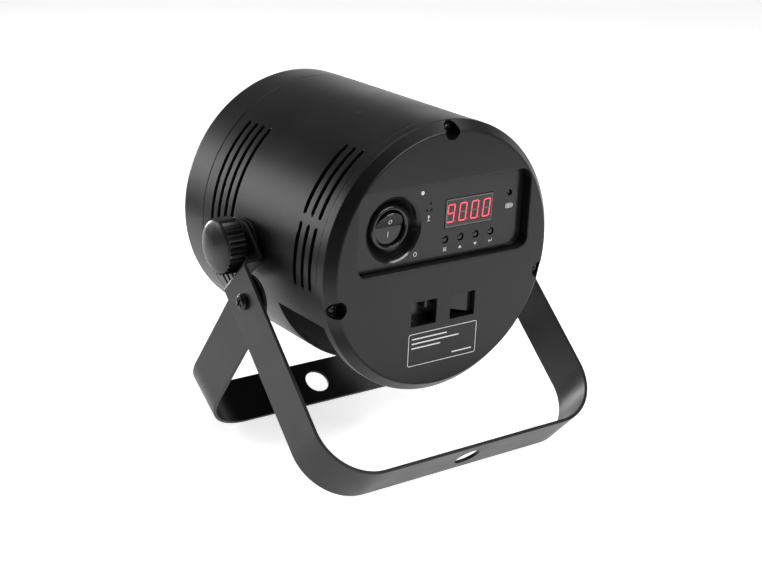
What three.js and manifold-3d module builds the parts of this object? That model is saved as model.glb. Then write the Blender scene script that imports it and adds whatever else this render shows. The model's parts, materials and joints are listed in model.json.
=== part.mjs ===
// A compact LED par can on a double bracket that opens into a floor stand.
// Millimetres, +Z up, standing on the floor at z = 0, its beam along +Y and its rear panel facing -Y.
import * as THREE from "three";
import { mergeVertices } from "three/addons/utils/BufferGeometryUtils.js";
import Module from "manifold-3d";

const wasm = await Module();
wasm.setup();

// ---------------------------------------------------------------- driving dimensions
const GAP = 0.3; // between fixed neighbours
const RUNNING = 0.4; // between pieces that turn or slide past each other
const TURNED = 48; // sides of the large turned shells
const BOWL = 24; // sides of the knobs and the switch
const ROUND = 20; // sides of middling round pieces
const SMALL = 10; // sides of screws and pins

// Head. Its own frame: +Y along the beam, y = 0 on the flat rear face, axis of the can at x = z = 0.
const CAN_R = 71.2; // housing outside, at its rear end
const CAN_DRAFT = 0.9; // how much narrower its front end is
const CAN_WALL = 2.4;
const CAN_LENGTH = 108.3;
const COVER_STEP = 0.2; // how far the rear cover stands outside the housing
const COVER_CHAMFER = [4.8, 5.2]; // across the face, along the axis
const COVER_DEPTH = 10.8;
const COVER_PLATE = 2.5;
const COVER_RIM = 10.9;
const RING_LENGTH = 22.6;
const RING_DRAFT = 0.4;
const RING_WALL = 5.7;
const RING_SEAM = 0.5;
const LIP = 4.1;
const LIP_THICK = 3.2;
const GLASS_THICK = 3;

// Notch under the rear half of the can, where the sockets sit.
const NOTCH_Z = -28.4;
const NOTCH_DEPTH = 42.2; // along the axis, from the rear cover

// Cooling slots: each arc is given by its first and last angle above the horizontal, in degrees.
const SLOT_WIDTH = 2.4;
const FRONT_SLOTS = { count: 4, first: 90.8, pitch: 6.45, arcs: [[-48, 48]] };
const REAR_SLOTS = { count: 3, first: 16.9, pitch: 6.6, arcs: [[21.4, 54.4], [-8.4, 18]] };

// Control panel: a recess in the rear cover with a fascia at its bottom.
const RECESS_LOW = -1.8;
const RECESS_HIGH = 41.4;
const RECESS_DEPTH = 5.3;
const RECESS_CORNER = 6.5;
const RECESS_EDGE = 0.8; // from its upper corners to the edge of the flat face
const FASCIA_THICK = 2;
const LEDGE = 3;
const FRAME_WALL = 2;
const SWITCH_AT = [-29.5, 18.6];
const DISH_R = 16;
const DISH_FLOOR_R = 12.6;
const DISH_DEPTH = 6;
const BEZEL_R = 11.8;
const BEZEL_PROUD = 3; // above the dish's floor
const ROCKER_R = 8.8;
const ROCKER_THROW = 12; // degrees to either side of the middle
const DISPLAY = { x: 17.9, z: 22.2, width: 30.2, height: 14.8, depth: 7.2, proud: 0.5 };
const BUTTON_Z = 8.6;
const BUTTON_X = 3.5;
const BUTTON_PITCH = 10;
const BUTTON_R = 1.65;
const BUTTON_HOLE_R = 2;
const MIC_AT = [-7.6, 26.9];
const BATTERY_LED_AT = [44.8, 27.8];

// Two rectangular windows under the panel.
const WINDOW = { width: 16, height: 13, z: -26.6, left: -11.7, right: 13.3 };

// Rear-cover screws, in wells that cut the rim.
const COVER_SCREW_ANGLES = { top: 90, left: 194, right: -14 };
const WELL_INSET = 4.4; // from the cover's outside to the wells' centres
const WELL_R = 4.75;
const WELL_FLOOR = 7;
const BOSS_R = 4.2;
const BOSS_LENGTH = 24;
const PILOT_R = 1.7; // of the holes that the screws cut their thread in
const PILOT_DEPTH = 16;
const SHANK_R = 1.4; // of the thread-forming screws
const SCREW_HOLE_R = 1.9;

// Tilt axis.
const PIVOT_Y = 77.3;
const PIVOT_Z = -1.9;
const HEAD_TILT = 3.36; // degrees, nose up, as it stands
const STUD_R = 3;
const PIVOT_BOSS_R = 13;
const PIVOT_BOSS_DEPTH = 12;
const PIVOT_BORE_R = 5.4;

// Bracket strip and the two U brackets.
const STRIP_WIDTH = 27;
const STRIP_THICK = 1.8;
const BEND_R = 29; // outside radius of the big corners
const EAR_STANDOFF = 3.6; // from the can to the outer face of the ears
const SHELF_BELOW_EAR = 3.3; // from the ear's lower end to the outward step
const STEP_OUT = 10.5;
const YOKE_SPLAY = 3.4; // how much further out the arms are at the bar
const YOKE_REACH = 142.3; // tilt axis to the outer face of the bar
const YOKE_LEAN = 43.9; // degrees, backwards from straight down
const STAND_BELOW_SHELF = 0.9; // from the step's underside to the stand's round ends
const STAND_LEAN = 37.4; // degrees, forwards from straight down
const STAND_SPLAY = 1.8;
const HINGE_GAP = 1.3; // between the two brackets' arms, for a washer
const BAR_HOLE_R = 7;
const FOLD_HOLE_R = 2.4;

// Clamp knobs.
const KNOB_R = 15;
const KNOB_RIBS = 32;
const KNOB_RIB_DEPTH = 0.9;
const KNOB_GRIP = 9.5;
const KNOB_DOME = 2.3;
const COLLAR_LENGTH = 2.9;
const COLLAR_R = 8;

// Optics and electronics inside the can.
const LENS_COUNT = 6;
const LENS_FLANGE_R = 17;
const LENS_BODY_R = 14.5;
const LENS_MARGIN = 7.6; // from the lenses to the ring's bore

const radians = THREE.MathUtils.degToRad;

// ---------------------------------------------------------------- solids
// A closed three.js geometry as a manifold solid, with its faces turned outwards.
function solidFrom(geometry) {
  const loose = geometry.index ? geometry.toNonIndexed() : geometry;
  const bare = new THREE.BufferGeometry();
  bare.setAttribute("position", loose.getAttribute("position"));
  const merged = mergeVertices(bare, 1e-4);
  const corners = merged.index.array;
  const kept = [];
  for (let i = 0; i < corners.length; i += 3) {
    const [a, b, c] = corners.slice(i, i + 3);
    if (a !== b && b !== c && a !== c) kept.push([a, b, c]);
  }
  const build = (faces) =>
    new wasm.Manifold(
      new wasm.Mesh({
        numProp: 3,
        vertProperties: merged.attributes.position.array,
        triVerts: new Uint32Array(faces.flat()),
      }),
    );
  const made = build(kept);
  return made.volume() > 0 ? made : build(kept.map(([a, b, c]) => [a, c, b]));
}

// A manifold solid as a plain three.js geometry.
function geometryFrom(solid) {
  const mesh = solid.getMesh();
  const points = new Float32Array(mesh.numVert * 3);
  for (let i = 0; i < mesh.numVert; i += 1) {
    const from = i * mesh.numProp;
    points.set(mesh.vertProperties.subarray(from, from + 3), i * 3);
  }
  const geometry = new THREE.BufferGeometry();
  geometry.setAttribute("position", new THREE.BufferAttribute(points, 3));
  geometry.setIndex(new THREE.BufferAttribute(new Uint32Array(mesh.triVerts), 1));
  geometry.computeVertexNormals();
  return geometry;
}

const joined = (solids) => solids.reduce((all, one) => all.add(one));
const cut = (solid, tools) => tools.reduce((left, tool) => left.subtract(tool), solid);

// A solid of revolution about the Y axis, from [radius, y] points.
function turned(profile, sides = ROUND) {
  const points = profile.map(([r, y]) => new THREE.Vector2(r, y));
  const closesOnAxis = profile[0][0] === 0 && profile.at(-1)[0] === 0;
  if (!closesOnAxis) points.push(points[0].clone());
  return solidFrom(new THREE.LatheGeometry(points, sides));
}

// A box between two corners.
function box([x0, y0, z0], [x1, y1, z1]) {
  const geometry = new THREE.BoxGeometry(x1 - x0, y1 - y0, z1 - z0);
  geometry.translate((x0 + x1) / 2, (y0 + y1) / 2, (z0 + z1) / 2);
  return solidFrom(geometry);
}

// A round bar along the Y axis from y0 to y1, centred on x, z.
function barY(radius, y0, y1, [x, z] = [0, 0], sides = SMALL) {
  const geometry = new THREE.CylinderGeometry(radius, radius, y1 - y0, sides);
  geometry.translate(x, (y0 + y1) / 2, z);
  return solidFrom(geometry);
}

// A round bar along the X axis from x0 to x1, centred on y, z.
function barX(radius, x0, x1, [y, z] = [0, 0], sides = SMALL) {
  const geometry = new THREE.CylinderGeometry(radius, radius, x1 - x0, sides);
  geometry.rotateZ(Math.PI / 2);
  geometry.translate((x0 + x1) / 2, y, z);
  return solidFrom(geometry);
}

// A round bar along the Z axis from z0 to z1, centred on x, y.
function barZ(radius, z0, z1, [x, y] = [0, 0], sides = SMALL) {
  const geometry = new THREE.CylinderGeometry(radius, radius, z1 - z0, sides);
  geometry.rotateX(Math.PI / 2);
  geometry.translate(x, y, (z0 + z1) / 2);
  return solidFrom(geometry);
}

// A rounded rectangle in the XZ plane, extruded from y0 to y1.
function plateY({ left, right, low, high, corner }, y0, y1) {
  const shape = new THREE.Shape();
  shape.moveTo(left + corner, low);
  shape.lineTo(right - corner, low);
  shape.absarc(right - corner, low + corner, corner, -Math.PI / 2, 0, false);
  shape.lineTo(right, high - corner);
  shape.absarc(right - corner, high - corner, corner, 0, Math.PI / 2, false);
  shape.lineTo(left + corner, high);
  shape.absarc(left + corner, high - corner, corner, Math.PI / 2, Math.PI, false);
  shape.lineTo(left, low + corner);
  shape.absarc(left + corner, low + corner, corner, Math.PI, 1.5 * Math.PI, false);
  const settings = { depth: y1 - y0, bevelEnabled: false, curveSegments: 5 };
  const geometry = new THREE.ExtrudeGeometry(shape, settings);
  geometry.rotateX(Math.PI / 2);
  geometry.translate(0, y1, 0);
  return solidFrom(geometry);
}

// The same outline grown outwards, or shrunk where the amount is negative.
function grown({ left, right, low, high, corner }, by) {
  return { left: left - by, right: right + by, low: low - by, high: high + by, corner: corner + by };
}

// A plate through a closed outline of [x, z] points, from y0 to y1.
function outlineY(points, y0, y1) {
  const shape = new THREE.Shape(points.map(([x, z]) => new THREE.Vector2(x, z)));
  const geometry = new THREE.ExtrudeGeometry(shape, { depth: y1 - y0, bevelEnabled: false });
  geometry.rotateX(Math.PI / 2);
  geometry.translate(0, y1, 0);
  return solidFrom(geometry);
}

// Where a point of the can's circle lies, for an angle in degrees from +X towards +Z.
const polar = (radius, degrees) => [
  radius * Math.cos(radians(degrees)),
  radius * Math.sin(radians(degrees)),
];

// ---------------------------------------------------------------- materials
const paint = (name, color, roughness, metalness = 0) =>
  new THREE.MeshStandardMaterial({ name, color, roughness, metalness });
const CASE = paint("case_plastic", 0x1c1c1d, 0.55);
const FASCIA = paint("fascia_plastic", 0x232324, 0.5);
const BRACKET = paint("bracket_paint", 0x242425, 0.45, 0.3);
const KNOB = paint("knob_plastic", 0x1a1a1b, 0.4);
const GLOSS = paint("gloss_plastic", 0x121213, 0.2);
const STEEL = paint("steel", 0x8d8f92, 0.35, 1);
const BLACK_STEEL = paint("black_steel", 0x1a1a1c, 0.35, 0.8);
const BRASS = paint("brass", 0xb08d4a, 0.35, 1);
const ALUMINIUM = paint("aluminium", 0xa9abad, 0.4, 1);
const BOARD = paint("circuit_board", 0x1f4a2c, 0.5);
const WHITE_BOARD = paint("led_board", 0xe6e6e2, 0.5);
const CELL_WRAP = paint("cell_wrap", 0x2a5fa8, 0.4);
const CLEAR = paint("clear_plastic", 0xdfe6ea, 0.05);
const RUBBER = paint("rubber", 0x161616, 0.9);
const NYLON = paint("nylon", 0xd8d6cc, 0.6);
const DISPLAY_FACE = paint("display_face", 0x6a3a3c, 0.4);
const RED_LENS = paint("indicator", 0x2a0a0a, 0.25);

const piece = (name, solid, material) => {
  const mesh = new THREE.Mesh(geometryFrom(solid), material);
  mesh.name = name;
  return mesh;
};

// ---------------------------------------------------------------- places along the can
const canFrontR = CAN_R - CAN_DRAFT;
const coverR = CAN_R + COVER_STEP;
const coverFaceR = coverR - COVER_CHAMFER[0];
const ringFrontR = canFrontR - RING_DRAFT;
const ringBoreR = canFrontR - RING_WALL;
const wellCentreR = coverR - WELL_INSET;
const screwCircleR = wellCentreR - 0.5; // the screws sit a little inwards of the wells' centres
const lensCircleR = ringBoreR - LENS_MARGIN - LENS_FLANGE_R;
const cornerReach = coverFaceR - RECESS_EDGE - RECESS_CORNER;
const recessHalf = RECESS_CORNER + Math.sqrt(cornerReach ** 2 - (RECESS_HIGH - RECESS_CORNER) ** 2);
const RECESS = {
  left: -recessHalf,
  right: recessHalf,
  low: RECESS_LOW,
  high: RECESS_HIGH,
  corner: RECESS_CORNER,
};
const earX = CAN_R + EAR_STANDOFF;
const armTopX = earX + STEP_OUT;
const shelfDrop = STRIP_WIDTH / 2 + SHELF_BELOW_EAR;
const foldDrop = shelfDrop + STRIP_THICK + STAND_BELOW_SHELF + STRIP_WIDTH / 2;
const canStart = COVER_DEPTH + GAP;
const canEnd = canStart + CAN_LENGTH;
const ringStart = canEnd + RING_SEAM;
const ringEnd = ringStart + RING_LENGTH;
const notchEnd = COVER_DEPTH + NOTCH_DEPTH;
const fasciaBack = RECESS_DEPTH + FASCIA_THICK;
const boardFront = DISPLAY.depth + RECESS_DEPTH - DISPLAY.proud + GAP;
const canRadiusAt = (y) => CAN_R + ((canFrontR - CAN_R) * (y - canStart)) / CAN_LENGTH;
const bossFace = earX - STRIP_THICK - 1.4;

// The can's outer form as one solid, used to trim what reaches its surface.
const canForm = () =>
  turned([[0, canStart], [CAN_R, canStart], [canFrontR, canEnd], [0, canEnd]], TURNED);

// One ring-shaped cutter per slot, kept to a wedge on one side of the can.
function slotCutters({ count, first, pitch, arcs }) {
  const cutters = [];
  const reach = CAN_R + 4;
  const inside = CAN_R - CAN_WALL - 4;
  for (let i = 0; i < count; i += 1) {
    const y0 = first + i * pitch - SLOT_WIDTH / 2;
    const hoop = [[inside, y0], [reach, y0], [reach, y0 + SLOT_WIDTH], [inside, y0 + SLOT_WIDTH]];
    for (const [low, high] of arcs) {
      for (const side of [1, -1]) {
        const start = side > 0 ? low : 180 - high;
        const steps = Math.ceil((high - low) / 12);
        const points = [];
        for (let k = 0; k <= steps; k += 1) {
          points.push(polar(2 * reach, start + ((high - low) * k) / steps));
        }
        const wedge = outlineY([[0, 0], ...points], y0 - 1, y0 + SLOT_WIDTH + 1);
        cutters.push(turned(hoop, TURNED).intersect(wedge));
      }
    }
  }
  return cutters;
}

// ---------------------------------------------------------------- head
function housing() {
  const shell = turned(
    [
      [CAN_R - CAN_WALL, canStart],
      [CAN_R, canStart],
      [canFrontR, canEnd],
      [canFrontR - CAN_WALL, canEnd],
    ],
    TURNED,
  );
  const form = canForm();
  const below = box([-90, canStart - 5, -90], [90, notchEnd, NOTCH_Z]);
  const ceiling = box([-90, canStart, NOTCH_Z], [90, notchEnd + CAN_WALL, NOTCH_Z + CAN_WALL]);
  const endWall = box([-90, notchEnd, -90], [90, notchEnd + CAN_WALL, NOTCH_Z + CAN_WALL]);
  const screwBosses = Object.values(COVER_SCREW_ANGLES).map((angle) =>
    barY(BOSS_R, canStart, canStart + BOSS_LENGTH, polar(screwCircleR, angle), SMALL),
  );
  const pivotBosses = [1, -1].map((side) => {
    const [x0, x1] = [side * (CAN_R - PIVOT_BOSS_DEPTH), side * bossFace].sort((a, b) => a - b);
    return barX(PIVOT_BOSS_R, x0, x1, [PIVOT_Y, PIVOT_Z], ROUND);
  });
  const added = joined([ceiling, endWall, ...screwBosses]).intersect(form);
  const pilots = Object.values(COVER_SCREW_ANGLES).map((angle) =>
    barY(PILOT_R, canStart - 1, canStart + PILOT_DEPTH, polar(screwCircleR, angle), 8),
  );
  const pivotBore = barX(PIVOT_BORE_R, -90, 90, [PIVOT_Y, PIVOT_Z]);
  const holes = [...pilots, pivotBore, ...socketCutouts()];
  const walls = cut(shell, [below, ...slotCutters(FRONT_SLOTS), ...slotCutters(REAR_SLOTS)]);
  return cut(joined([walls, added, ...pivotBosses]), holes);
}

// Sockets in the notch's ceiling, facing down: [centre x, centre y].
const MAINS_AT = [-30, 32];
const DATA_AT = { in: [12, 32], out: [42, 32] };
const MAINS_BODY = [27, 20];
const DATA_BODY_R = 10.6;

function socketCutouts() {
  const [x, y] = MAINS_AT;
  const [w, d] = MAINS_BODY.map((size) => size / 2 + GAP);
  const low = NOTCH_Z - 1;
  const high = NOTCH_Z + CAN_WALL + 1;
  const mains = box([x - w, y - d, low], [x + w, y + d, high]);
  const data = Object.values(DATA_AT).map((at) => barZ(DATA_BODY_R + GAP, low, high, at, ROUND));
  return [mains, ...data];
}

function mainsInlet() {
  const [x, y] = MAINS_AT;
  const [w, d] = MAINS_BODY.map((size) => size / 2);
  const flange = box([x - w - 2.5, y - d - 2, NOTCH_Z - GAP - 2], [x + w + 2.5, y + d + 2, NOTCH_Z - GAP]);
  const body = box([x - w, y - d, NOTCH_Z - GAP - 1], [x + w, y + d, NOTCH_Z + 15]);
  const well = box([x - w + 1.6, y - d + 1.6, NOTCH_Z - 4], [x + w - 1.6, y + d - 1.6, NOTCH_Z + 12]);
  const pins = [[-7, -1.5], [0, 3], [7, -1.5]].map(([dx, dy]) =>
    box([x + dx - 1, y + dy - 2.4, NOTCH_Z + 3], [x + dx + 1, y + dy + 2.4, NOTCH_Z + 13]),
  );
  return joined([cut(flange.add(body), [well]), ...pins]);
}

function dataSocket(at, hasPins) {
  const flange = barZ(DATA_BODY_R + 2.2, NOTCH_Z - GAP - 1.8, NOTCH_Z - GAP, at, ROUND);
  const body = barZ(DATA_BODY_R, NOTCH_Z - GAP - 1, NOTCH_Z + 14, at, ROUND);
  const contacts = [90, 210, 330].map((angle) => {
    const [dx, dy] = polar(3.6, angle);
    return [at[0] + dx, at[1] + dy];
  });
  if (!hasPins) {
    const holes = contacts.map((point) => barZ(1.3, NOTCH_Z - 4, NOTCH_Z + 8, point, 8));
    return cut(flange.add(body), holes);
  }
  const well = barZ(DATA_BODY_R - 1.6, NOTCH_Z - 4, NOTCH_Z + 11, at, ROUND);
  const pins = contacts.map((point) => barZ(1.2, NOTCH_Z + 3, NOTCH_Z + 12, point, 8));
  return joined([cut(flange.add(body), [well]), ...pins]);
}

function frontRing() {
  const lipBack = ringEnd - LIP_THICK;
  const spigotStart = ringStart - 5.4;
  return turned(
    [
      [ringBoreR, spigotStart],
      [canFrontR - CAN_WALL - 0.5, spigotStart],
      [canFrontR - CAN_WALL - 0.5, ringStart],
      [canFrontR, ringStart],
      [ringFrontR, ringEnd - 4],
      [ringFrontR - 1.1, ringEnd - 1.2],
      [ringFrontR - 3.4, ringEnd],
      [ringBoreR - LIP, ringEnd],
      [ringBoreR - LIP, lipBack],
      [ringBoreR, lipBack],
    ],
    TURNED,
  );
}

const glassFront = ringEnd - LIP_THICK - GAP;
const lensFront = glassFront - GLASS_THICK - 3.4;
const holderFront = lensFront - 3.8;
const HOLDER_THICK = 3;
const ledBoardFront = holderFront - 13.4;
const LED_BOARD_THICK = 1.6;
const sinkFront = ledBoardFront - LED_BOARD_THICK - GAP;
const SINK_BASE = 6;
const SINK_FINS = 15;
const FIN_PITCH = 13;
const FIN_ROWS = [-4, -3, -2, -1, 0, 1, 2, 3, 4];
const lensAngles = Array.from({ length: LENS_COUNT }, (_, i) => 30 + (i * 360) / LENS_COUNT);
const opticScrewAt = [90, 210, 330].map((angle) => polar(14, angle));

function frontGlass() {
  return barY(ringBoreR - 1, glassFront - GLASS_THICK, glassFront, [0, 0], TURNED);
}

function lensHolder() {
  const disc = barY(ringBoreR - 0.6, holderFront - HOLDER_THICK, holderFront, [0, 0], TURNED);
  const wells = lensAngles.map((angle) =>
    barY(LENS_BODY_R + 0.4, holderFront - 9, holderFront + 1, polar(lensCircleR, angle), ROUND),
  );
  const screws = opticScrewAt.map((at) => barY(SCREW_HOLE_R, holderFront - 9, holderFront + 1, at, 8));
  return cut(disc, [...wells, ...screws]);
}

function lens(angle) {
  const back = ledBoardFront + 1.4;
  const profile = [
    [0, back],
    [7.5, back],
    [LENS_BODY_R, holderFront - HOLDER_THICK - 1],
    [LENS_BODY_R, holderFront + GAP],
    [LENS_FLANGE_R, holderFront + GAP],
    [LENS_FLANGE_R, lensFront - 1.2],
    [0, lensFront],
  ];
  const [x, z] = polar(lensCircleR, angle);
  return turned(profile, ROUND - 4).translate([x, 0, z]);
}

function ledBoard() {
  const disc = barY(ringBoreR - 2.6, ledBoardFront - LED_BOARD_THICK, ledBoardFront, [0, 0], TURNED);
  const emitters = lensAngles.map((angle) => {
    const [x, z] = polar(lensCircleR, angle);
    return box([x - 2.5, ledBoardFront - 0.5, z - 2.5], [x + 2.5, ledBoardFront + 1, z + 2.5]);
  });
  const screws = opticScrewAt.map((at) => barY(SCREW_HOLE_R, ledBoardFront - 9, ledBoardFront + 9, at, 8));
  return cut(joined([disc, ...emitters]), screws);
}

function heatSink() {
  const radius = ringBoreR - 2.6;
  const base = barY(radius, sinkFront - SINK_BASE, sinkFront, [0, 0], TURNED);
  const fins = FIN_ROWS.map((row) => {
    const x = row * FIN_PITCH;
    const reach = Math.sqrt(radius * radius - (Math.abs(x) + 1) ** 2) - 1;
    const top = sinkFront - SINK_BASE;
    return box([x - 1, top - SINK_FINS, -reach], [x + 1, top + 0.5, reach]);
  });
  const screws = opticScrewAt.map((at) => barY(PILOT_R, sinkFront - SINK_BASE + 1, sinkFront + 1, at, 8));
  return cut(joined([base, ...fins]), screws);
}

function opticScrew(at) {
  const head = barY(3, holderFront + GAP, holderFront + GAP + 2, at, SMALL);
  const shank = barY(SHANK_R, sinkFront - SINK_BASE + 2, holderFront + GAP + 1, at, 8);
  return head.add(shank);
}

// Battery pack of six cells, its tray, and the boards.
const PACK = { x: 33, y0: 39, y1: 75, z0: -5, z1: 49 };

function batteryPack() {
  const radius = (PACK.y1 - PACK.y0) / 4;
  const pitch = (PACK.z1 - PACK.z0) / 3;
  const cells = [];
  for (let row = 0; row < 3; row += 1) {
    for (let column = 0; column < 2; column += 1) {
      const y = PACK.y0 + radius + column * 2 * radius;
      cells.push(barX(radius + 0.2, -PACK.x, PACK.x, [y, PACK.z0 + pitch * (row + 0.5)], 16));
    }
  }
  const core = box(
    [-PACK.x + 1, PACK.y0 + radius, PACK.z0 + pitch / 2],
    [PACK.x - 1, PACK.y1 - radius, PACK.z1 - pitch / 2],
  );
  return joined([core, ...cells]);
}

function batteryTray() {
  const low = PACK.z0 - 2.2;
  const floor = box([-PACK.x - 3, PACK.y0 - 2, low - 1.5], [PACK.x + 3, PACK.y1 + 2.8, low + 0.2]);
  const back = box([-PACK.x - 3, PACK.y1 + 1.3, low], [PACK.x + 3, PACK.y1 + 2.8, PACK.z1 - 6]);
  const cheeks = [1, -1].map((side) => {
    const [x0, x1] = [side * (PACK.x + 1.5), side * (PACK.x + 3)].sort((a, b) => a - b);
    return box([x0, PACK.y0 + 6, low], [x1, PACK.y1 + 2, PACK.z0 + 20]);
  });
  return joined([floor, back, ...cheeks]);
}

function powerBoard() {
  const y = PACK.y1 + 4.6;
  const sheet = box([-44, y, -40], [44, y + 1.6, 38]);
  const transformer = box([-18, y + 1, -32], [12, y + 6.5, -8]);
  const capacitors = [[26, -24], [26, -8], [-32, 18]].map(([x, z]) =>
    barY(5, y + 1, y + 6, [x, z], SMALL),
  );
  return joined([sheet, transformer, ...capacitors]);
}

function rearCover() {
  const dish = turned(
    [
      [0, 0],
      [coverFaceR, 0],
      [coverR, COVER_CHAMFER[1]],
      [coverR, COVER_DEPTH],
      [coverR - COVER_RIM, COVER_DEPTH],
      [coverR - COVER_RIM, COVER_PLATE],
      [0, COVER_PLATE],
    ],
    TURNED,
  );
  const frameBack = fasciaBack + GAP + 2;
  const roundForm = barY(coverR - 0.5, 0, COVER_DEPTH, [0, 0], TURNED);
  const frame = plateY(grown(RECESS, FRAME_WALL), COVER_PLATE - 0.5, frameBack).intersect(roundForm);
  const recess = plateY(RECESS, -1, fasciaBack + GAP);
  const throat = plateY(grown(RECESS, -LEDGE), fasciaBack, COVER_DEPTH + 1);
  const windows = [WINDOW.left, WINDOW.right].map((x) =>
    box(
      [x - WINDOW.width / 2, -1, WINDOW.z - WINDOW.height / 2],
      [x + WINDOW.width / 2, COVER_PLATE + 1, WINDOW.z + WINDOW.height / 2],
    ),
  );
  const wells = Object.values(COVER_SCREW_ANGLES).map((angle) =>
    barY(WELL_R, -1, WELL_FLOOR, polar(wellCentreR, angle), ROUND),
  );
  const screwHoles = Object.values(COVER_SCREW_ANGLES).map((angle) =>
    barY(SCREW_HOLE_R, WELL_FLOOR - 1, COVER_DEPTH + 1, polar(screwCircleR, angle), 8),
  );
  return cut(dish.add(frame), [recess, throat, ...windows, ...wells, ...screwHoles]);
}

function coverScrew(angle) {
  const at = polar(screwCircleR, angle);
  const head = barY(3.1, WELL_FLOOR - GAP - 2.3, WELL_FLOOR - GAP, at, SMALL);
  const shank = barY(SHANK_R, WELL_FLOOR - 1, canStart + 14, at, 8);
  const slot = box([at[0] - 2, WELL_FLOOR - 4, at[1] - 0.4], [at[0] + 2, WELL_FLOOR - 1.6, at[1] + 0.4]);
  return cut(head.add(shank), [slot]);
}

// Fascia with the dished seat of the switch.
function controlPanel() {
  const sheet = plateY(grown(RECESS, -GAP), RECESS_DEPTH, fasciaBack);
  const [sx, sz] = SWITCH_AT;
  const floor = RECESS_DEPTH + DISH_DEPTH;
  const bowl = turned(
    [
      [10.4, floor],
      [DISH_FLOOR_R, floor],
      [DISH_FLOOR_R + 1.4, floor - 1.6],
      [DISH_R, RECESS_DEPTH],
      [DISH_R + 1.6, RECESS_DEPTH + 0.4],
      [DISH_FLOOR_R + 1.6, floor + 1.4],
      [10.4, floor + 1.4],
    ],
    BOWL,
  ).translate([sx, 0, sz]);
  const mouth = barY(DISH_R + 0.8, RECESS_DEPTH - 1, fasciaBack + 1, SWITCH_AT, BOWL);
  const window = box(
    [DISPLAY.x - DISPLAY.width / 2 - GAP, 0, DISPLAY.z - DISPLAY.height / 2 - GAP],
    [DISPLAY.x + DISPLAY.width / 2 + GAP, 20, DISPLAY.z + DISPLAY.height / 2 + GAP],
  );
  const buttons = buttonPlaces().map((at) => barY(BUTTON_HOLE_R, 0, 20, at, SMALL));
  const [mx, mz] = MIC_AT;
  const micHoles = [[-1.6, -1.4], [1.4, -1.4], [0.6, 2]].map(([dx, dz]) =>
    barY(0.55, 0, 20, [mx + dx, mz + dz], 6),
  );
  const led = barY(1.6, 0, 20, BATTERY_LED_AT, SMALL);
  return cut(sheet, [mouth, window, ...buttons, ...micHoles, led]).add(bowl);
}

const buttonPlaces = () => [0, 1, 2, 3].map((i) => [BUTTON_X + i * BUTTON_PITCH, BUTTON_Z]);

function switchBody() {
  const [sx, sz] = SWITCH_AT;
  const seat = RECESS_DEPTH + DISH_DEPTH - GAP;
  const top = seat - BEZEL_PROUD;
  const barrel = turned(
    [
      [ROCKER_R + GAP, top + 0.5],
      [ROCKER_R + 1, top],
      [BEZEL_R - 1, top],
      [BEZEL_R, top + 0.9],
      [BEZEL_R, seat],
      [10, seat],
      [10, seat + 19],
      [0, seat + 19],
      [0, seat + 8],
      [ROCKER_R + GAP, seat + 8],
    ],
    BOWL,
  ).translate([sx, 0, sz]);
  const tabs = [-5, 0, 5].map((dz) =>
    box([sx - 2.4, seat + 18, sz + dz - 0.4], [sx + 2.4, seat + 26, sz + dz + 0.4]),
  );
  return joined([barrel, ...tabs]);
}

// A round rocker: two flats that meet in a shallow valley, tipped with its lower end pressed in.
function rocker() {
  const radius = ROCKER_R - 0.7;
  const valley = 0.4;
  const rise = radius * Math.tan(radians(ROCKER_THROW));
  const disc = barY(radius, valley - rise, 3.4, [0, 0], ROUND);
  const flats = [1, -1].map((side) => {
    const shape = new THREE.Shape([
      new THREE.Vector2(0, valley),
      new THREE.Vector2(side * 2 * radius, valley - 2 * rise),
      new THREE.Vector2(side * 2 * radius, -2 * radius),
      new THREE.Vector2(0, -2 * radius),
    ]);
    const geometry = new THREE.ExtrudeGeometry(shape, { depth: 4 * radius, bevelEnabled: false });
    geometry.translate(0, 0, -2 * radius);
    geometry.rotateY(-Math.PI / 2);
    return solidFrom(geometry);
  });
  const axis = RECESS_DEPTH + DISH_DEPTH - GAP - 1.4;
  return cut(disc, flats)
    .rotate([ROCKER_THROW, 0, 0])
    .translate([SWITCH_AT[0], axis, SWITCH_AT[1]]);
}

function displayModule() {
  const front = RECESS_DEPTH - DISPLAY.proud;
  return box(
    [DISPLAY.x - DISPLAY.width / 2, front, DISPLAY.z - DISPLAY.height / 2],
    [DISPLAY.x + DISPLAY.width / 2, front + DISPLAY.depth, DISPLAY.z + DISPLAY.height / 2],
  );
}

const BUTTON_TRAVEL = 0.4;
const tactFront = boardFront - 3.2;
const BOARD_THICK = 1.6;

function button(at) {
  const front = RECESS_DEPTH + 0.35;
  return barY(BUTTON_R, front, tactFront - BUTTON_TRAVEL - 0.2, at, SMALL);
}

function controlBoard() {
  const sheet = box([-14, boardFront, -0.6], [49, boardFront + BOARD_THICK, 36]);
  const switches = buttonPlaces().map(([x, z]) =>
    box([x - 3, tactFront, z - 3], [x + 3, boardFront + 0.5, z + 3]),
  );
  const chip = box([-8, boardFront + 1, 8], [4, boardFront + 4, 20]);
  return joined([sheet, chip, ...switches]);
}

function micCapsule() {
  return barY(3, fasciaBack + GAP, boardFront - GAP, MIC_AT, SMALL);
}

function batteryLed() {
  return turned(
    [
      [0, RECESS_DEPTH + 0.7],
      [1, RECESS_DEPTH + 1],
      [1.3, RECESS_DEPTH + 1.8],
      [1.3, boardFront - GAP],
      [0, boardFront - GAP],
    ],
    SMALL,
  ).translate([BATTERY_LED_AT[0], 0, BATTERY_LED_AT[1]]);
}

// Pocket behind the two windows, with a bay for each.
const BAY = { wall: 1.2, front: COVER_PLATE + GAP, back: COVER_DEPTH - 1 };

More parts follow.
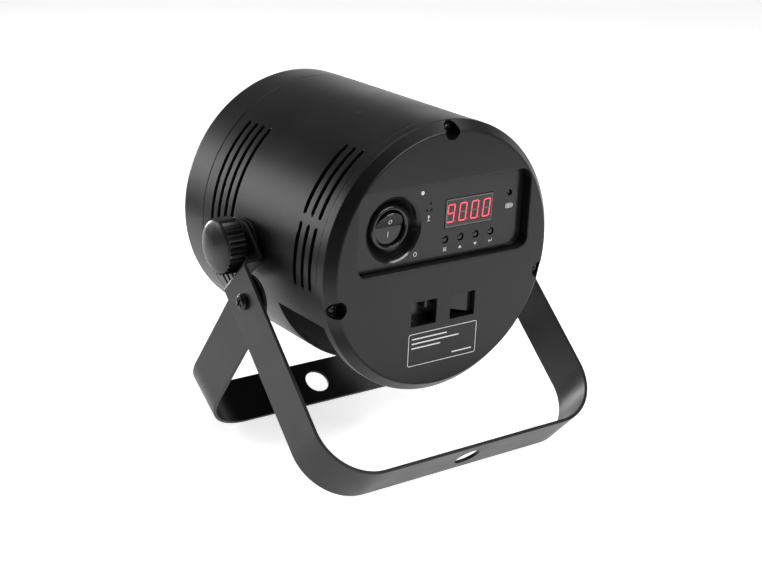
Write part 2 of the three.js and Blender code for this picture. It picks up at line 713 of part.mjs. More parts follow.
function portBox() {
  const top = WINDOW.z + WINDOW.height / 2 + 0.4;
  const low = WINDOW.z - WINDOW.height / 2 - 0.4;
  const half = WINDOW.width / 2 + 0.4;
  const shell = box(
    [WINDOW.left - half - BAY.wall, BAY.front, low - BAY.wall],
    [WINDOW.right + half + BAY.wall, BAY.back, top + BAY.wall],
  );
  const bays = [WINDOW.left, WINDOW.right].map((x) =>
    box([x - half, BAY.front - 1, low], [x + half, BAY.back - BAY.wall, top]),
  );
  return cut(shell, bays);
}

function serviceSocket() {
  const right = WINDOW.left + WINDOW.width / 2;
  const top = WINDOW.z + WINDOW.height / 2;
  const back = BAY.back - BAY.wall - GAP;
  return box([right - 4.4, BAY.front + 1.6, top - 5.6], [right - 1.2, back, top - 0.6]);
}

// Blanking plate in the right bay; its lower edge is cut on the slant and leaves a gap.
function blankPlate() {
  const half = WINDOW.width / 2 + 0.1;
  const top = WINDOW.z + WINDOW.height / 2 + 0.1;
  const outline = [
    [WINDOW.right - half, top],
    [WINDOW.right - half, WINDOW.z - 1.4],
    [WINDOW.right + half, WINDOW.z - WINDOW.height / 2 + 0.4],
    [WINDOW.right + half, top],
  ];
  return outlineY(outline, BAY.front + 0.2, BAY.front + 1.6);
}

function pivotInsert(side) {
  const [x0, x1] = [side * (CAN_R - 11), side * (bossFace - 0.6)].sort((a, b) => a - b);
  const at = [PIVOT_Y, PIVOT_Z];
  return cut(barX(5.1, x0, x1, at), [barX(STUD_R + RUNNING, x0 - 1, x1 + 1, at)]);
}

// ---------------------------------------------------------------- brackets
// The middle line of a bent strip: straight runs joined by round bends of the given radii.
function bentLine(points, radii) {
  const line = [];
  points.forEach((point, i) => {
    if (i === 0 || i === points.length - 1) {
      line.push(point.clone());
      return;
    }
    const before = points[i - 1].clone().sub(point).normalize();
    const after = points[i + 1].clone().sub(point).normalize();
    const half = Math.acos(before.dot(after)) / 2;
    const radius = radii[i];
    const start = point.clone().addScaledVector(before, radius / Math.tan(half));
    const middle = before.clone().add(after).normalize();
    const centre = point.clone().addScaledVector(middle, radius / Math.sin(half));
    const end = point.clone().addScaledVector(after, radius / Math.tan(half));
    const from = start.clone().sub(centre).angle();
    let sweep = end.clone().sub(centre).angle() - from;
    if (sweep > Math.PI) sweep -= 2 * Math.PI;
    if (sweep < -Math.PI) sweep += 2 * Math.PI;
    const steps = radius > 10 ? 8 : 3;
    for (let k = 0; k <= steps; k += 1) {
      const angle = from + (sweep * k) / steps;
      line.push(new THREE.Vector2(Math.cos(angle), Math.sin(angle)).multiplyScalar(radius).add(centre));
    }
  });
  return line;
}

// A flat strip bent along a line in the XZ plane, its width along Y.
function bentStrip(line) {
  const side = (sign) =>
    line.map((point, i) => {
      const before = line[Math.max(i - 1, 0)];
      const after = line[Math.min(i + 1, line.length - 1)];
      const incoming = (i === 0 ? after.clone().sub(point) : point.clone().sub(before)).normalize();
      const outgoing = (i === line.length - 1 ? incoming.clone() : after.clone().sub(point)).normalize();
      const along = incoming.clone().add(outgoing).normalize();
      const reach = STRIP_THICK / 2 / along.dot(incoming);
      return new THREE.Vector2(-along.y, along.x).multiplyScalar(sign * reach).add(point);
    });
  const outline = [...side(1), ...side(-1).reverse()].map(({ x, y }) => [x, y]);
  return outlineY(outline, -STRIP_WIDTH / 2, STRIP_WIDTH / 2);
}

// The side view of a bracket's arm: straight edges and a round end about z = 0.
function roundedArm(width, length) {
  const shape = new THREE.Shape();
  shape.moveTo(width / 2, -length);
  shape.lineTo(width / 2, 0);
  shape.absarc(0, 0, width / 2, 0, Math.PI, false);
  shape.lineTo(-width / 2, -length);
  const geometry = new THREE.ExtrudeGeometry(shape, { depth: 240, bevelEnabled: false, curveSegments: 12 });
  geometry.translate(0, 0, -120);
  geometry.rotateX(Math.PI / 2);
  geometry.rotateZ(Math.PI / 2);
  return solidFrom(geometry);
}

// A half line that starts at the left arm's top, with its mirror image as the right half.
function mirroredLine(half) {
  const right = half.map(({ x, y }) => new THREE.Vector2(-x, y)).reverse();
  return [...half, ...right];
}

const middle = STRIP_THICK / 2;
const hingeArmX = armTopX + (YOKE_SPLAY * (foldDrop - shelfDrop)) / (YOKE_REACH - shelfDrop);
const standTopX = hingeArmX - STRIP_THICK - HINGE_GAP;

function yoke() {
  const half = [
    new THREE.Vector2(-earX + middle, STRIP_WIDTH / 2),
    new THREE.Vector2(-earX + middle, -shelfDrop - middle),
    new THREE.Vector2(-armTopX + middle, -shelfDrop - middle),
    new THREE.Vector2(-armTopX - YOKE_SPLAY + middle, -YOKE_REACH + middle),
  ];
  const joggle = STRIP_THICK;
  const bend = BEND_R - middle;
  const line = bentLine(mirroredLine(half), [0, joggle, joggle, bend, bend, joggle, joggle, 0]);
  const strip = bentStrip(line).intersect(roundedArm(STRIP_WIDTH, YOKE_REACH + 10));
  const holes = [
    barX(STUD_R + RUNNING, -120, 120),
    barX(FOLD_HOLE_R, -120, 120, [0, -foldDrop]),
    barZ(BAR_HOLE_R, -YOKE_REACH - 5, -YOKE_REACH + 10, [0, 0], ROUND),
  ];
  return cut(strip, holes);
}

// Both bars rest on their lower edges, so the stand's reach follows from the yoke's.
const lean = radians(YOKE_LEAN);
const open = radians(STAND_LEAN);
const pivotHeight = YOKE_REACH * Math.cos(lean) + (STRIP_WIDTH / 2) * Math.sin(lean);
const foldHeight = pivotHeight - foldDrop * Math.cos(lean);
const STAND_REACH = (foldHeight - (STRIP_WIDTH / 2) * Math.sin(open)) / Math.cos(open);

function stand() {
  const slope = STAND_SPLAY / STAND_REACH;
  const half = [
    new THREE.Vector2(-standTopX + middle + (slope * STRIP_WIDTH) / 2, STRIP_WIDTH / 2),
    new THREE.Vector2(-standTopX - STAND_SPLAY + middle, -STAND_REACH + middle),
  ];
  const bend = BEND_R - middle;
  const line = bentLine(mirroredLine(half), [0, bend, bend, 0]);
  const trimmed = bentStrip(line).intersect(roundedArm(STRIP_WIDTH, STAND_REACH + 10));
  const holes = [
    barX(FOLD_HOLE_R, -120, 120),
    barZ(BAR_HOLE_R, -STAND_REACH - 5, -STAND_REACH + 10, [0, 0], ROUND),
  ];
  return cut(trimmed, holes);
}

function frictionWasher(side) {
  const inner = side * (bossFace + GAP);
  const outer = side * (earX - STRIP_THICK - GAP);
  const [x0, x1] = [inner, outer].sort((a, b) => a - b);
  return cut(barX(11.5, x0, x1, [0, 0], ROUND), [barX(STUD_R + RUNNING, x0 - 1, x1 + 1)]);
}

function hingeScrew(side) {
  const seat = hingeArmX + RUNNING;
  const span = (from, to) => [side * from, side * to].sort((a, b) => a - b);
  const [h0, h1] = span(seat, seat + 2.6);
  const [s0, s1] = span(seat + 1, standTopX - 8.2);
  const head = barX(4.3, h0, h1, [0, -foldDrop], ROUND);
  const shank = barX(2, s0, s1, [0, -foldDrop]);
  const [r0, r1] = span(seat + 1.2, seat + 4);
  const recess = [
    box([r0, -2.4, -foldDrop - 0.45], [r1, 2.4, -foldDrop + 0.45]),
    box([r0, -0.45, -foldDrop - 2.4], [r1, 0.45, -foldDrop + 2.4]),
  ];
  return cut(head.add(shank), recess);
}

function hingeNut(side) {
  const inner = standTopX - STRIP_THICK - GAP - 0.2;
  const [x0, x1] = [side * inner, side * (inner - 4.6)].sort((a, b) => a - b);
  return cut(barX(4, x0, x1, [0, -foldDrop], 6), [barX(2.3, x0 - 1, x1 + 1, [0, -foldDrop])]);
}

function hingeWasher(side) {
  const [x0, x1] = [0.4, HINGE_GAP - 0.4].map((off) => side * (standTopX + off)).sort((a, b) => a - b);
  return cut(barX(6, x0, x1, [0, -foldDrop], ROUND), [barX(2.4, x0 - 1, x1 + 1, [0, -foldDrop])]);
}

// ---------------------------------------------------------------- knobs
// A knob on the +X side: collar, ribbed grip and a low dome, on a steel stud.
function knob(side) {
  const collarStart = earX + GAP;
  const gripStart = collarStart + COLLAR_LENGTH;
  const gripEnd = gripStart + KNOB_GRIP;
  const rim = KNOB_R - KNOB_RIB_DEPTH;
  const core = turned(
    [
      [0, collarStart],
      [COLLAR_R, collarStart],
      [COLLAR_R, gripStart],
      [rim, gripStart],
      [rim, gripEnd],
      [rim * 0.87, gripEnd + KNOB_DOME * 0.45],
      [rim * 0.5, gripEnd + KNOB_DOME * 0.87],
      [0, gripEnd + KNOB_DOME],
    ],
    BOWL,
  );
  const star = [];
  for (let i = 0; i < KNOB_RIBS * 2; i += 1) {
    star.push(polar(i % 2 ? KNOB_R : rim - 0.2, (i * 180) / KNOB_RIBS));
  }
  const grip = outlineY(star, gripStart, gripEnd);
  const bore = barY(STUD_R + GAP, collarStart - 1, gripStart + 7);
  return cut(core.add(grip), [bore]).rotate([0, 0, -90 * side]);
}

function knobStud(side) {
  const [x0, x1] = [side * (CAN_R - 10), side * (earX + COLLAR_LENGTH + 6.5)].sort((a, b) => a - b);
  return barX(STUD_R, x0, x1);
}

// ---------------------------------------------------------------- assembly
const sides = { left: -1, right: 1 };

const head = new THREE.Group();
head.add(
  piece("housing", housing(), CASE),
  piece("front_ring", frontRing(), CASE),
  piece("front_glass", frontGlass(), CLEAR),
  piece("lens_holder", lensHolder(), GLOSS),
  piece("led_board", ledBoard(), WHITE_BOARD),
  piece("heat_sink", heatSink(), ALUMINIUM),
  piece("power_board", powerBoard(), BOARD),
  piece("battery_pack", batteryPack(), CELL_WRAP),
  piece("battery_tray", batteryTray(), STEEL),
  piece("rear_cover", rearCover(), CASE),
  piece("control_panel", controlPanel(), FASCIA),
  piece("control_board", controlBoard(), BOARD),
  piece("display_module", displayModule(), DISPLAY_FACE),
  piece("switch_body", switchBody(), GLOSS),
  piece("rocker", rocker(), GLOSS),
  piece("mic_capsule", micCapsule(), ALUMINIUM),
  piece("battery_led", batteryLed(), RED_LENS),
  piece("port_box", portBox(), GLOSS),
  piece("service_socket", serviceSocket(), FASCIA),
  piece("blank_plate", blankPlate(), FASCIA),
  piece("mains_inlet", mainsInlet(), GLOSS),
  piece("data_in_socket", dataSocket(DATA_AT.in, true), GLOSS),
  piece("data_out_socket", dataSocket(DATA_AT.out, false), GLOSS),
);
lensAngles.forEach((angle, i) => head.add(piece(`lens_${i + 1}`, lens(angle), CLEAR)));
opticScrewAt.forEach((at, i) => head.add(piece(`optic_screw_${i + 1}`, opticScrew(at), STEEL)));
["menu", "up", "down", "enter"].forEach((name, i) =>
  head.add(piece(`button_${name}`, button(buttonPlaces()[i]), GLOSS)),
);
for (const [name, angle] of Object.entries(COVER_SCREW_ANGLES)) {
  head.add(piece(`cover_screw_${name}`, coverScrew(angle), BLACK_STEEL));
}
for (const [name, side] of Object.entries(sides)) {
  head.add(piece(`pivot_insert_${name}`, pivotInsert(side), BRASS));
}

// The head hangs on the tilt axis, so its group turns about that axis.
const tilted = new THREE.Group();
head.position.set(0, -PIVOT_Y, -PIVOT_Z);
tilted.rotation.x = radians(HEAD_TILT);
tilted.add(head);

const yokeGroup = new THREE.Group();
yokeGroup.rotation.x = -lean;
yokeGroup.add(piece("yoke", yoke(), BRACKET));
for (const [name, side] of Object.entries(sides)) {
  yokeGroup.add(
    piece(`friction_washer_${name}`, frictionWasher(side), RUBBER),
    piece(`hinge_screw_${name}`, hingeScrew(side), BLACK_STEEL),
    piece(`hinge_nut_${name}`, hingeNut(side), STEEL),
    piece(`hinge_washer_${name}`, hingeWasher(side), NYLON),
    piece(`knob_${name}`, knob(side), KNOB),
    piece(`knob_stud_${name}`, knobStud(side), STEEL),
  );
}

const standGroup = new THREE.Group();
standGroup.position.set(0, -foldDrop * Math.sin(lean), -foldDrop * Math.cos(lean));
standGroup.rotation.x = open;
standGroup.add(piece("stand", stand(), BRACKET));

const parCan = new THREE.Group();
parCan.add(tilted, yokeGroup, standGroup);

// The origin is on the floor, under the middle of the whole object.
const extent = new THREE.Box3().setFromObject(parCan, true);
const centre = extent.getCenter(new THREE.Vector3());
parCan.position.set(-centre.x, -centre.y, -extent.min.z);

export default parCan;
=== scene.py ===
"""A compact LED par can on a double U bracket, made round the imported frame.

Pieces are drawn in millimetres in the local frame of the body that carries them, and each mesh is then
put in place in metres. The head's frame has +Y along the beam with y = 0 on the flat rear face. The frame
of each bracket has its fold or tilt axis at the origin and its arms running down -Z.
"""
import json
import math

import bmesh
import bpy
from mathutils import Matrix, Vector


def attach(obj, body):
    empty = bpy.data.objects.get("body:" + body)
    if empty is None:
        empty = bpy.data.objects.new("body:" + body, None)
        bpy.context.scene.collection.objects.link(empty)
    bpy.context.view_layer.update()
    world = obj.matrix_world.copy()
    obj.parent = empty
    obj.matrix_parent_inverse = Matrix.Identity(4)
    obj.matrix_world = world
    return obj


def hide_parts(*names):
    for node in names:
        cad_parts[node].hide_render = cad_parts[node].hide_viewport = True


bl_info = {
    "name": "Par can builder",
    "version": (1, 0, 0),
    "blender": (4, 5, 0),
    "location": "View3D > Sidebar > Par can",
    "description": "Builds a battery par can, its brackets and a studio round a packed CAD frame",
    "category": "Object",
}

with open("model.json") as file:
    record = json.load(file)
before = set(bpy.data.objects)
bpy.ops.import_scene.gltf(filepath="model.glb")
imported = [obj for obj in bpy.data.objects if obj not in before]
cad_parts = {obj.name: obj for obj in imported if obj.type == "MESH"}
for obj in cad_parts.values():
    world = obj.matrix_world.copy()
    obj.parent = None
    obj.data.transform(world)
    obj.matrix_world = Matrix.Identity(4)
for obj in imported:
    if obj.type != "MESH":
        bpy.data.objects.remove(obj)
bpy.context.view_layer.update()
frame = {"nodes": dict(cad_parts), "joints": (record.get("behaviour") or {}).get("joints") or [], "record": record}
MM = 0.001
JOINTS = {joint["name"]: joint for joint in frame["joints"]}
MOUNTS = {mount["name"]: mount for mount in frame["record"]["mounts"]}


# ------------------------------------------------------------------ local frames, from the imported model
def turned_frame(origin, degrees):
    """Millimetres in a frame turned about X, to metres in the row frame."""
    turn = Matrix.Rotation(math.radians(degrees), 4, "X")
    return Matrix.Translation(origin) @ turn @ Matrix.Scale(MM, 4)


def local_box(node, place):
    """Lowest and highest corner of a CAD node in a local frame, in millimetres."""
    back = place.inverted()
    points = [back @ vertex.co for vertex in frame["nodes"][node].data.vertices]
    low = Vector([min(point[i] for point in points) for i in range(3)])
    high = Vector([max(point[i] for point in points) for i in range(3)])
    return low, high


def head_frame():
    """The head's frame: turned as the buttons press, from the rear face, on the can's axis."""
    press = Vector(JOINTS["button_menu_press"]["axis"])
    nose_up = math.degrees(math.atan2(press.z, press.y))
    about_pivot = turned_frame(JOINTS["tilt"]["pos_m"], nose_up)
    low, high = local_box("front_ring", about_pivot)
    rear = local_box("rear_cover", about_pivot)[0].y
    return about_pivot @ Matrix.Translation((0, rear, (low.z + high.z) / 2))


def bracket_frame(joint, mount):
    """A bracket's frame: its arms run towards the flat face of its bar."""
    facing = Vector(MOUNTS[mount]["axis"])
    return turned_frame(JOINTS[joint]["pos_m"], math.degrees(math.atan2(facing.y, -facing.z)))


HEAD = head_frame()
YOKE = bracket_frame("tilt", "yoke_bar_face")
STAND = bracket_frame("stand_fold", "stand_bar_face")
PIVOT = HEAD.inverted() @ Vector(JOINTS["tilt"]["pos_m"])
COVER_HIGH = local_box("rear_cover", HEAD)[1]
BARREL_LOW, BARREL_HIGH = local_box("housing", HEAD)
RING_LOW, RING_HIGH = local_box("front_ring", HEAD)
PANEL_LOW, PANEL_HIGH = local_box("control_panel", HEAD)
SCREEN_LOW, SCREEN_HIGH = local_box("display_module", HEAD)
SWITCH_LOW, SWITCH_HIGH = local_box("switch_body", HEAD)
YOKE_LOW, YOKE_HIGH = local_box("yoke", YOKE)
STAND_LOW, STAND_HIGH = local_box("stand", STAND)
KNOB_LOW, KNOB_HIGH = local_box("knob_right", YOKE)


# ------------------------------------------------------------------ what a user may change
def size(name, description, millimetres):
    return bpy.props.FloatProperty(
        name=name, description=description, default=millimetres * MM, min=0, unit="LENGTH", precision=5
    )


def tint(name, description, code):
    return bpy.props.FloatVectorProperty(
        name=name, description=description, default=srgb(code)[:3], size=3, min=0, max=1, subtype="COLOR"
    )


def srgb(code):
    """An sRGB hex value as linear RGBA."""
    channels = [int(code[i : i + 2], 16) / 255 for i in (1, 3, 5)]
    return (*[c / 12.92 if c <= 0.04045 else ((c + 0.055) / 1.055) ** 2.4 for c in channels], 1)


class ParCanSizes(bpy.types.PropertyGroup):
    barrel_wall: size("Barrel wall", "Thickness of the moulded barrel", 2.4)
    slot_width: size("Slot width", "Width of each cooling slot", 2.6)
    edge: size("Moulded edge", "Radius on the edges of moulded pieces", 0.55)
    bend: size("Bracket bend", "Outside radius of the brackets' big bends", 29)
    sheet: size("Bracket sheet", "Thickness of the bracket strip", 1.8)
    knob_ribs: bpy.props.IntProperty(name="Knob ribs", description="Ribs round each knob", default=32, min=8)
    well: size("Screw well", "Radius of the wells in the rear cover", 4.6)
    dish: size("Switch dish", "Radius of the dished seat of the switch", 16)


class ParCanColours(bpy.types.PropertyGroup):
    case: tint("Case", "Moulded case", "#131314")
    fascia: tint("Fascia", "Control panel", "#161617")
    bracket: tint("Bracket", "Powder coat of the brackets", "#161617")
    knob: tint("Knob", "Clamp knobs", "#0c0c0d")
    print_ink: tint("Print", "Printed marks", "#e6e6e6")
    lit: tint("Digits", "Lit display segments", "#ff4355")


# ------------------------------------------------------------------ outlines and meshes, in millimetres
def rounded(points, radii, steps=5, closed=True):
    """A polyline of 2-D points with its corners turned into arcs. A radius of 0 keeps a corner."""
    done = []
    count = len(points)
    for i, point in enumerate(points):
        radius = radii[i] if isinstance(radii, (list, tuple)) else radii
        if radius <= 0 or (not closed and i in (0, count - 1)):
            done.append(tuple(point))
            continue
        corner = Vector(point)
        before = (Vector(points[i - 1]) - corner).normalized()
        after = (Vector(points[(i + 1) % count]) - corner).normalized()
        half = before.angle(after) / 2
        reach = radius / math.tan(half)
        centre = corner + (before + after).normalized() * radius / math.sin(half)
        start = corner + before * reach - centre
        end = corner + after * reach - centre
        sweep = start.angle_signed(end)
        for k in range(steps + 1):
            turn = Matrix.Rotation(-sweep * k / steps, 2)
            done.append(tuple(centre + turn @ start))
    return done


def lathe(profile, segments=128):
    """A closed (radius, y) profile turned about the Y axis."""
    mesh = bmesh.new()
    rings = []
    for r, y in profile:
        if r < 1e-6:
            rings.append([mesh.verts.new((0, y, 0))])
            continue
        rings.append([mesh.verts.new((x, y, z)) for x, z in circle(r, steps=segments)])
    for ring, following in zip(rings, rings[1:] + rings[:1]):
        if len(ring) == 1 and len(following) == 1:
            continue
        for k in range(segments):
            n = k + 1
            spots = ((ring, k), (ring, n), (following, n), (following, k))
            corners = [line[i % len(line)] for line, i in spots]
            mesh.faces.new(list(dict.fromkeys(corners)))
    bmesh.ops.recalc_face_normals(mesh, faces=mesh.faces)
    return mesh


def skinned(rings, capped=True):
    """A solid through rings of equal point count: capped at both ends, or closed on itself."""
    mesh = bmesh.new()
    rings = [[mesh.verts.new(point) for point in ring] for ring in rings]
    for ring, following in zip(rings, rings[1:] if capped else rings[1:] + rings[:1]):
        for k in range(len(ring)):
            n = (k + 1) % len(ring)
            mesh.faces.new((ring[k], ring[n], following[n], following[k]))
    if capped:
        mesh.faces.new(rings[0])
        mesh.faces.new(rings[-1])
    bmesh.ops.recalc_face_normals(mesh, faces=mesh.faces)
    return mesh


def loft(*levels):
    """A solid through outlines of equal point count, each an (outline, y) pair of (x, z) points."""
    return skinned([[(x, y, z) for x, z in outline] for outline, y in levels])


def rectangle(left, right, low, high):
    return [(left, low), (right, low), (right, high), (left, high)]


def frame_outline(left, right, low, high, radius, grow=0.0, steps=8):
    """A rounded rectangle in x and z, grown outwards."""
    radius = max(radius + grow, 0.05)
    return rounded(rectangle(left - grow, right + grow, low - grow, high + grow), radius, steps)


def curve(degrees, across, along, centre=(0, 0)):
    """Points at these angles on an ellipse."""
    turns = [math.radians(a) for a in degrees]
    return [(centre[0] + across * math.cos(a), centre[1] + along * math.sin(a)) for a in turns]


def circle(radius, centre=(0, 0), steps=48):
    return curve([360 * k / steps for k in range(steps)], radius, radius, centre)


def block(low, high):
    mesh = bmesh.new()
    bmesh.ops.create_cube(mesh, size=1)
    middle = (Vector(low) + Vector(high)) / 2
    span = Vector(high) - Vector(low)
    bmesh.ops.transform(mesh, verts=mesh.verts, matrix=Matrix.LocRotScale(middle, None, span))
    return mesh


def sunk(outline_at, face, depth, flare):
    """A cutter for a hole with a rounded rim: outline_at(grow) gives its outline, from the face inwards."""
    levels = [(outline_at(flare), face - 2)]
    for k in range(5):
        angle = math.pi / 2 * k / 4
        levels.append((outline_at(flare * (1 - math.sin(angle))), face + flare * (1 - math.cos(angle))))
    levels.append((outline_at(0), face + depth))
    return loft(*levels)


def shifted(mesh, offset):
    bmesh.ops.translate(mesh, verts=mesh.verts, vec=offset)
    return mesh


def together(*meshes):
    """Several bmeshes in one."""
    whole = bmesh.new()
    for part in meshes:
        spare = bpy.data.meshes.new("spare")
        part.to_mesh(spare)
        part.free()
        whole.from_mesh(spare)
        bpy.data.meshes.remove(spare)
    return whole


def loose(mesh, name="loose"):
    """A bmesh as a plain object of its own."""
    data = bpy.data.meshes.new(name)
    mesh.to_mesh(data)
    mesh.free()
    made = bpy.data.objects.new(name, data)
    bpy.context.scene.collection.objects.link(made)
    return made


def settled(thing):
    """The object's mesh with its modifiers in it, as a bmesh. The object is removed."""
    data = bpy.data.meshes.new_from_object(thing.evaluated_get(bpy.context.evaluated_depsgraph_get()))
    mesh = bmesh.new()
    mesh.from_mesh(data)
    bpy.data.objects.remove(thing)
    bpy.data.meshes.remove(data)
    return mesh


def combined(mesh, tools, operation="DIFFERENCE"):
    """A bmesh cut by, or joined with, others."""
    body = loose(mesh)
    helpers = [loose(tool, "tool") for tool in tools]
    for helper in helpers:
        step = body.modifiers.new("step", "BOOLEAN")
        step.operation = operation
        step.solver = "EXACT"
        step.object = helper
    done = settled(body)
    for helper in helpers:
        bpy.data.objects.remove(helper)
    bmesh.ops.remove_doubles(done, verts=done.verts, dist=0.002)
    return done


def edged(mesh, width, segments=2, degrees=45):
    """A bmesh with its sharp edges rounded."""
    body = loose(mesh)
    step = body.modifiers.new("edges", "BEVEL")
    step.width = width
    step.segments = segments
    step.limit_method = "ANGLE"
    step.angle_limit = math.radians(degrees)
    step.use_clamp_overlap = True
    step.harden_normals = False
    return settled(body)


def piece(name, mesh, place, material, body, slot, replaces=(), smooth=38, weight=50):
    """A finished piece: its mesh in place in metres, on its body, standing for its CAD nodes."""
    made = loose(mesh, name)
    made.data.transform(place)
    made.data.materials.clear()
    made.data.materials.append(material)
    made.data.shade_smooth()
    made.data.set_sharp_from_angle(angle=math.radians(smooth))
    weigh = made.modifiers.new("weigh", "WEIGHTED_NORMAL")
    weigh.keep_sharp = True
    weigh.weight = weight
    data = bpy.data.meshes.new_from_object(made.evaluated_get(bpy.context.evaluated_depsgraph_get()))
    made.modifiers.clear()
    spare = made.data
    made.data = data
    bpy.data.meshes.remove(spare)
    data.name = name
    if replaces:
        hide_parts(*replaces)
    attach(made, body)
    return made


def on_head(name, mesh, look, slot, replaces=(), **shading):
    piece(name, mesh, HEAD, finish(look), "head", slot, replaces, **shading)


def refined(node, place, width):
    """A copy of a CAD node, in a local frame, with its triangles joined and its edges rounded."""
    mesh = bmesh.new()
    mesh.from_mesh(frame["nodes"][node].data)
    bmesh.ops.transform(mesh, verts=mesh.verts, matrix=place.inverted())
    bmesh.ops.remove_doubles(mesh, verts=mesh.verts, dist=0.002)
    bmesh.ops.dissolve_limit(mesh, verts=mesh.verts, edges=mesh.edges, angle_limit=math.radians(1))
    return edged(mesh, width) if width else mesh


# ------------------------------------------------------------------ node trees
def in_use(sockets, name=None):
    """The first socket that the node uses, or the first of that name."""
    return next(socket for socket in sockets if socket.enabled and name in (None, socket.name))


def add(tree, kind, inputs=None, **settings):
    """One node with its settings and inputs. An input is a value, a socket or the node that feeds it."""
    made = tree.nodes.new(kind)
    for key, value in settings.items():
        setattr(made, key, value)
    for key, value in (inputs or {}).items():
        socket = made.inputs[key] if isinstance(key, int) else in_use(made.inputs, key)
        if isinstance(value, bpy.types.Node):
            value = in_use(value.outputs)
        if isinstance(value, bpy.types.NodeSocket):
            tree.links.new(value, socket)
        else:
            socket.default_value = value
    return made


def new_material(name):
    """An empty material, its tree and the Object coordinates."""
    material = bpy.data.materials.new(name)
    material.use_nodes = True
    tree = material.node_tree
    tree.nodes.clear()
    return material, tree, add(tree, "ShaderNodeTexCoord").outputs["Object"]


def features(where, millimetres, detail=2.0):
    """Inputs of a noise whose features are about as wide as given."""
    return {"Vector": where, "Scale": 1 / (millimetres * MM), "Detail": detail, "Roughness": 0.5}


def spread(factor, low, high):
    """Inputs of a map from the middle half of a noise to the range from low to high."""
    return {"Value": factor, "From Min": 0.25, "From Max": 0.75, "To Min": low, "To Max": high}


def toned(tree, factor, colour, share):
    """The colour, a little darker and lighter with the factor."""
    dark, light = ([min(c * (1 + way * share), 1) for c in colour[:3]] + [1] for way in (-1, 1))
    mixed = add(tree, "ShaderNodeMapRange", spread(factor, 0, 1))
    return add(tree, "ShaderNodeMix", {"Factor": mixed, "A": dark, "B": light}, data_type="RGBA")


def shaded(material, relief, depth_mm, inputs):
    """The material with its shader and the relief that bends its light."""
    tree = material.node_tree
    if relief:
        bump = {"Height": relief, "Strength": 1.0, "Distance": depth_mm * MM}
        inputs = {"Normal": add(tree, "ShaderNodeBump", bump), **inputs}
    shader = add(tree, "ShaderNodeBsdfPrincipled", inputs)
    add(tree, "ShaderNodeOutputMaterial", {"Surface": shader})
    return material


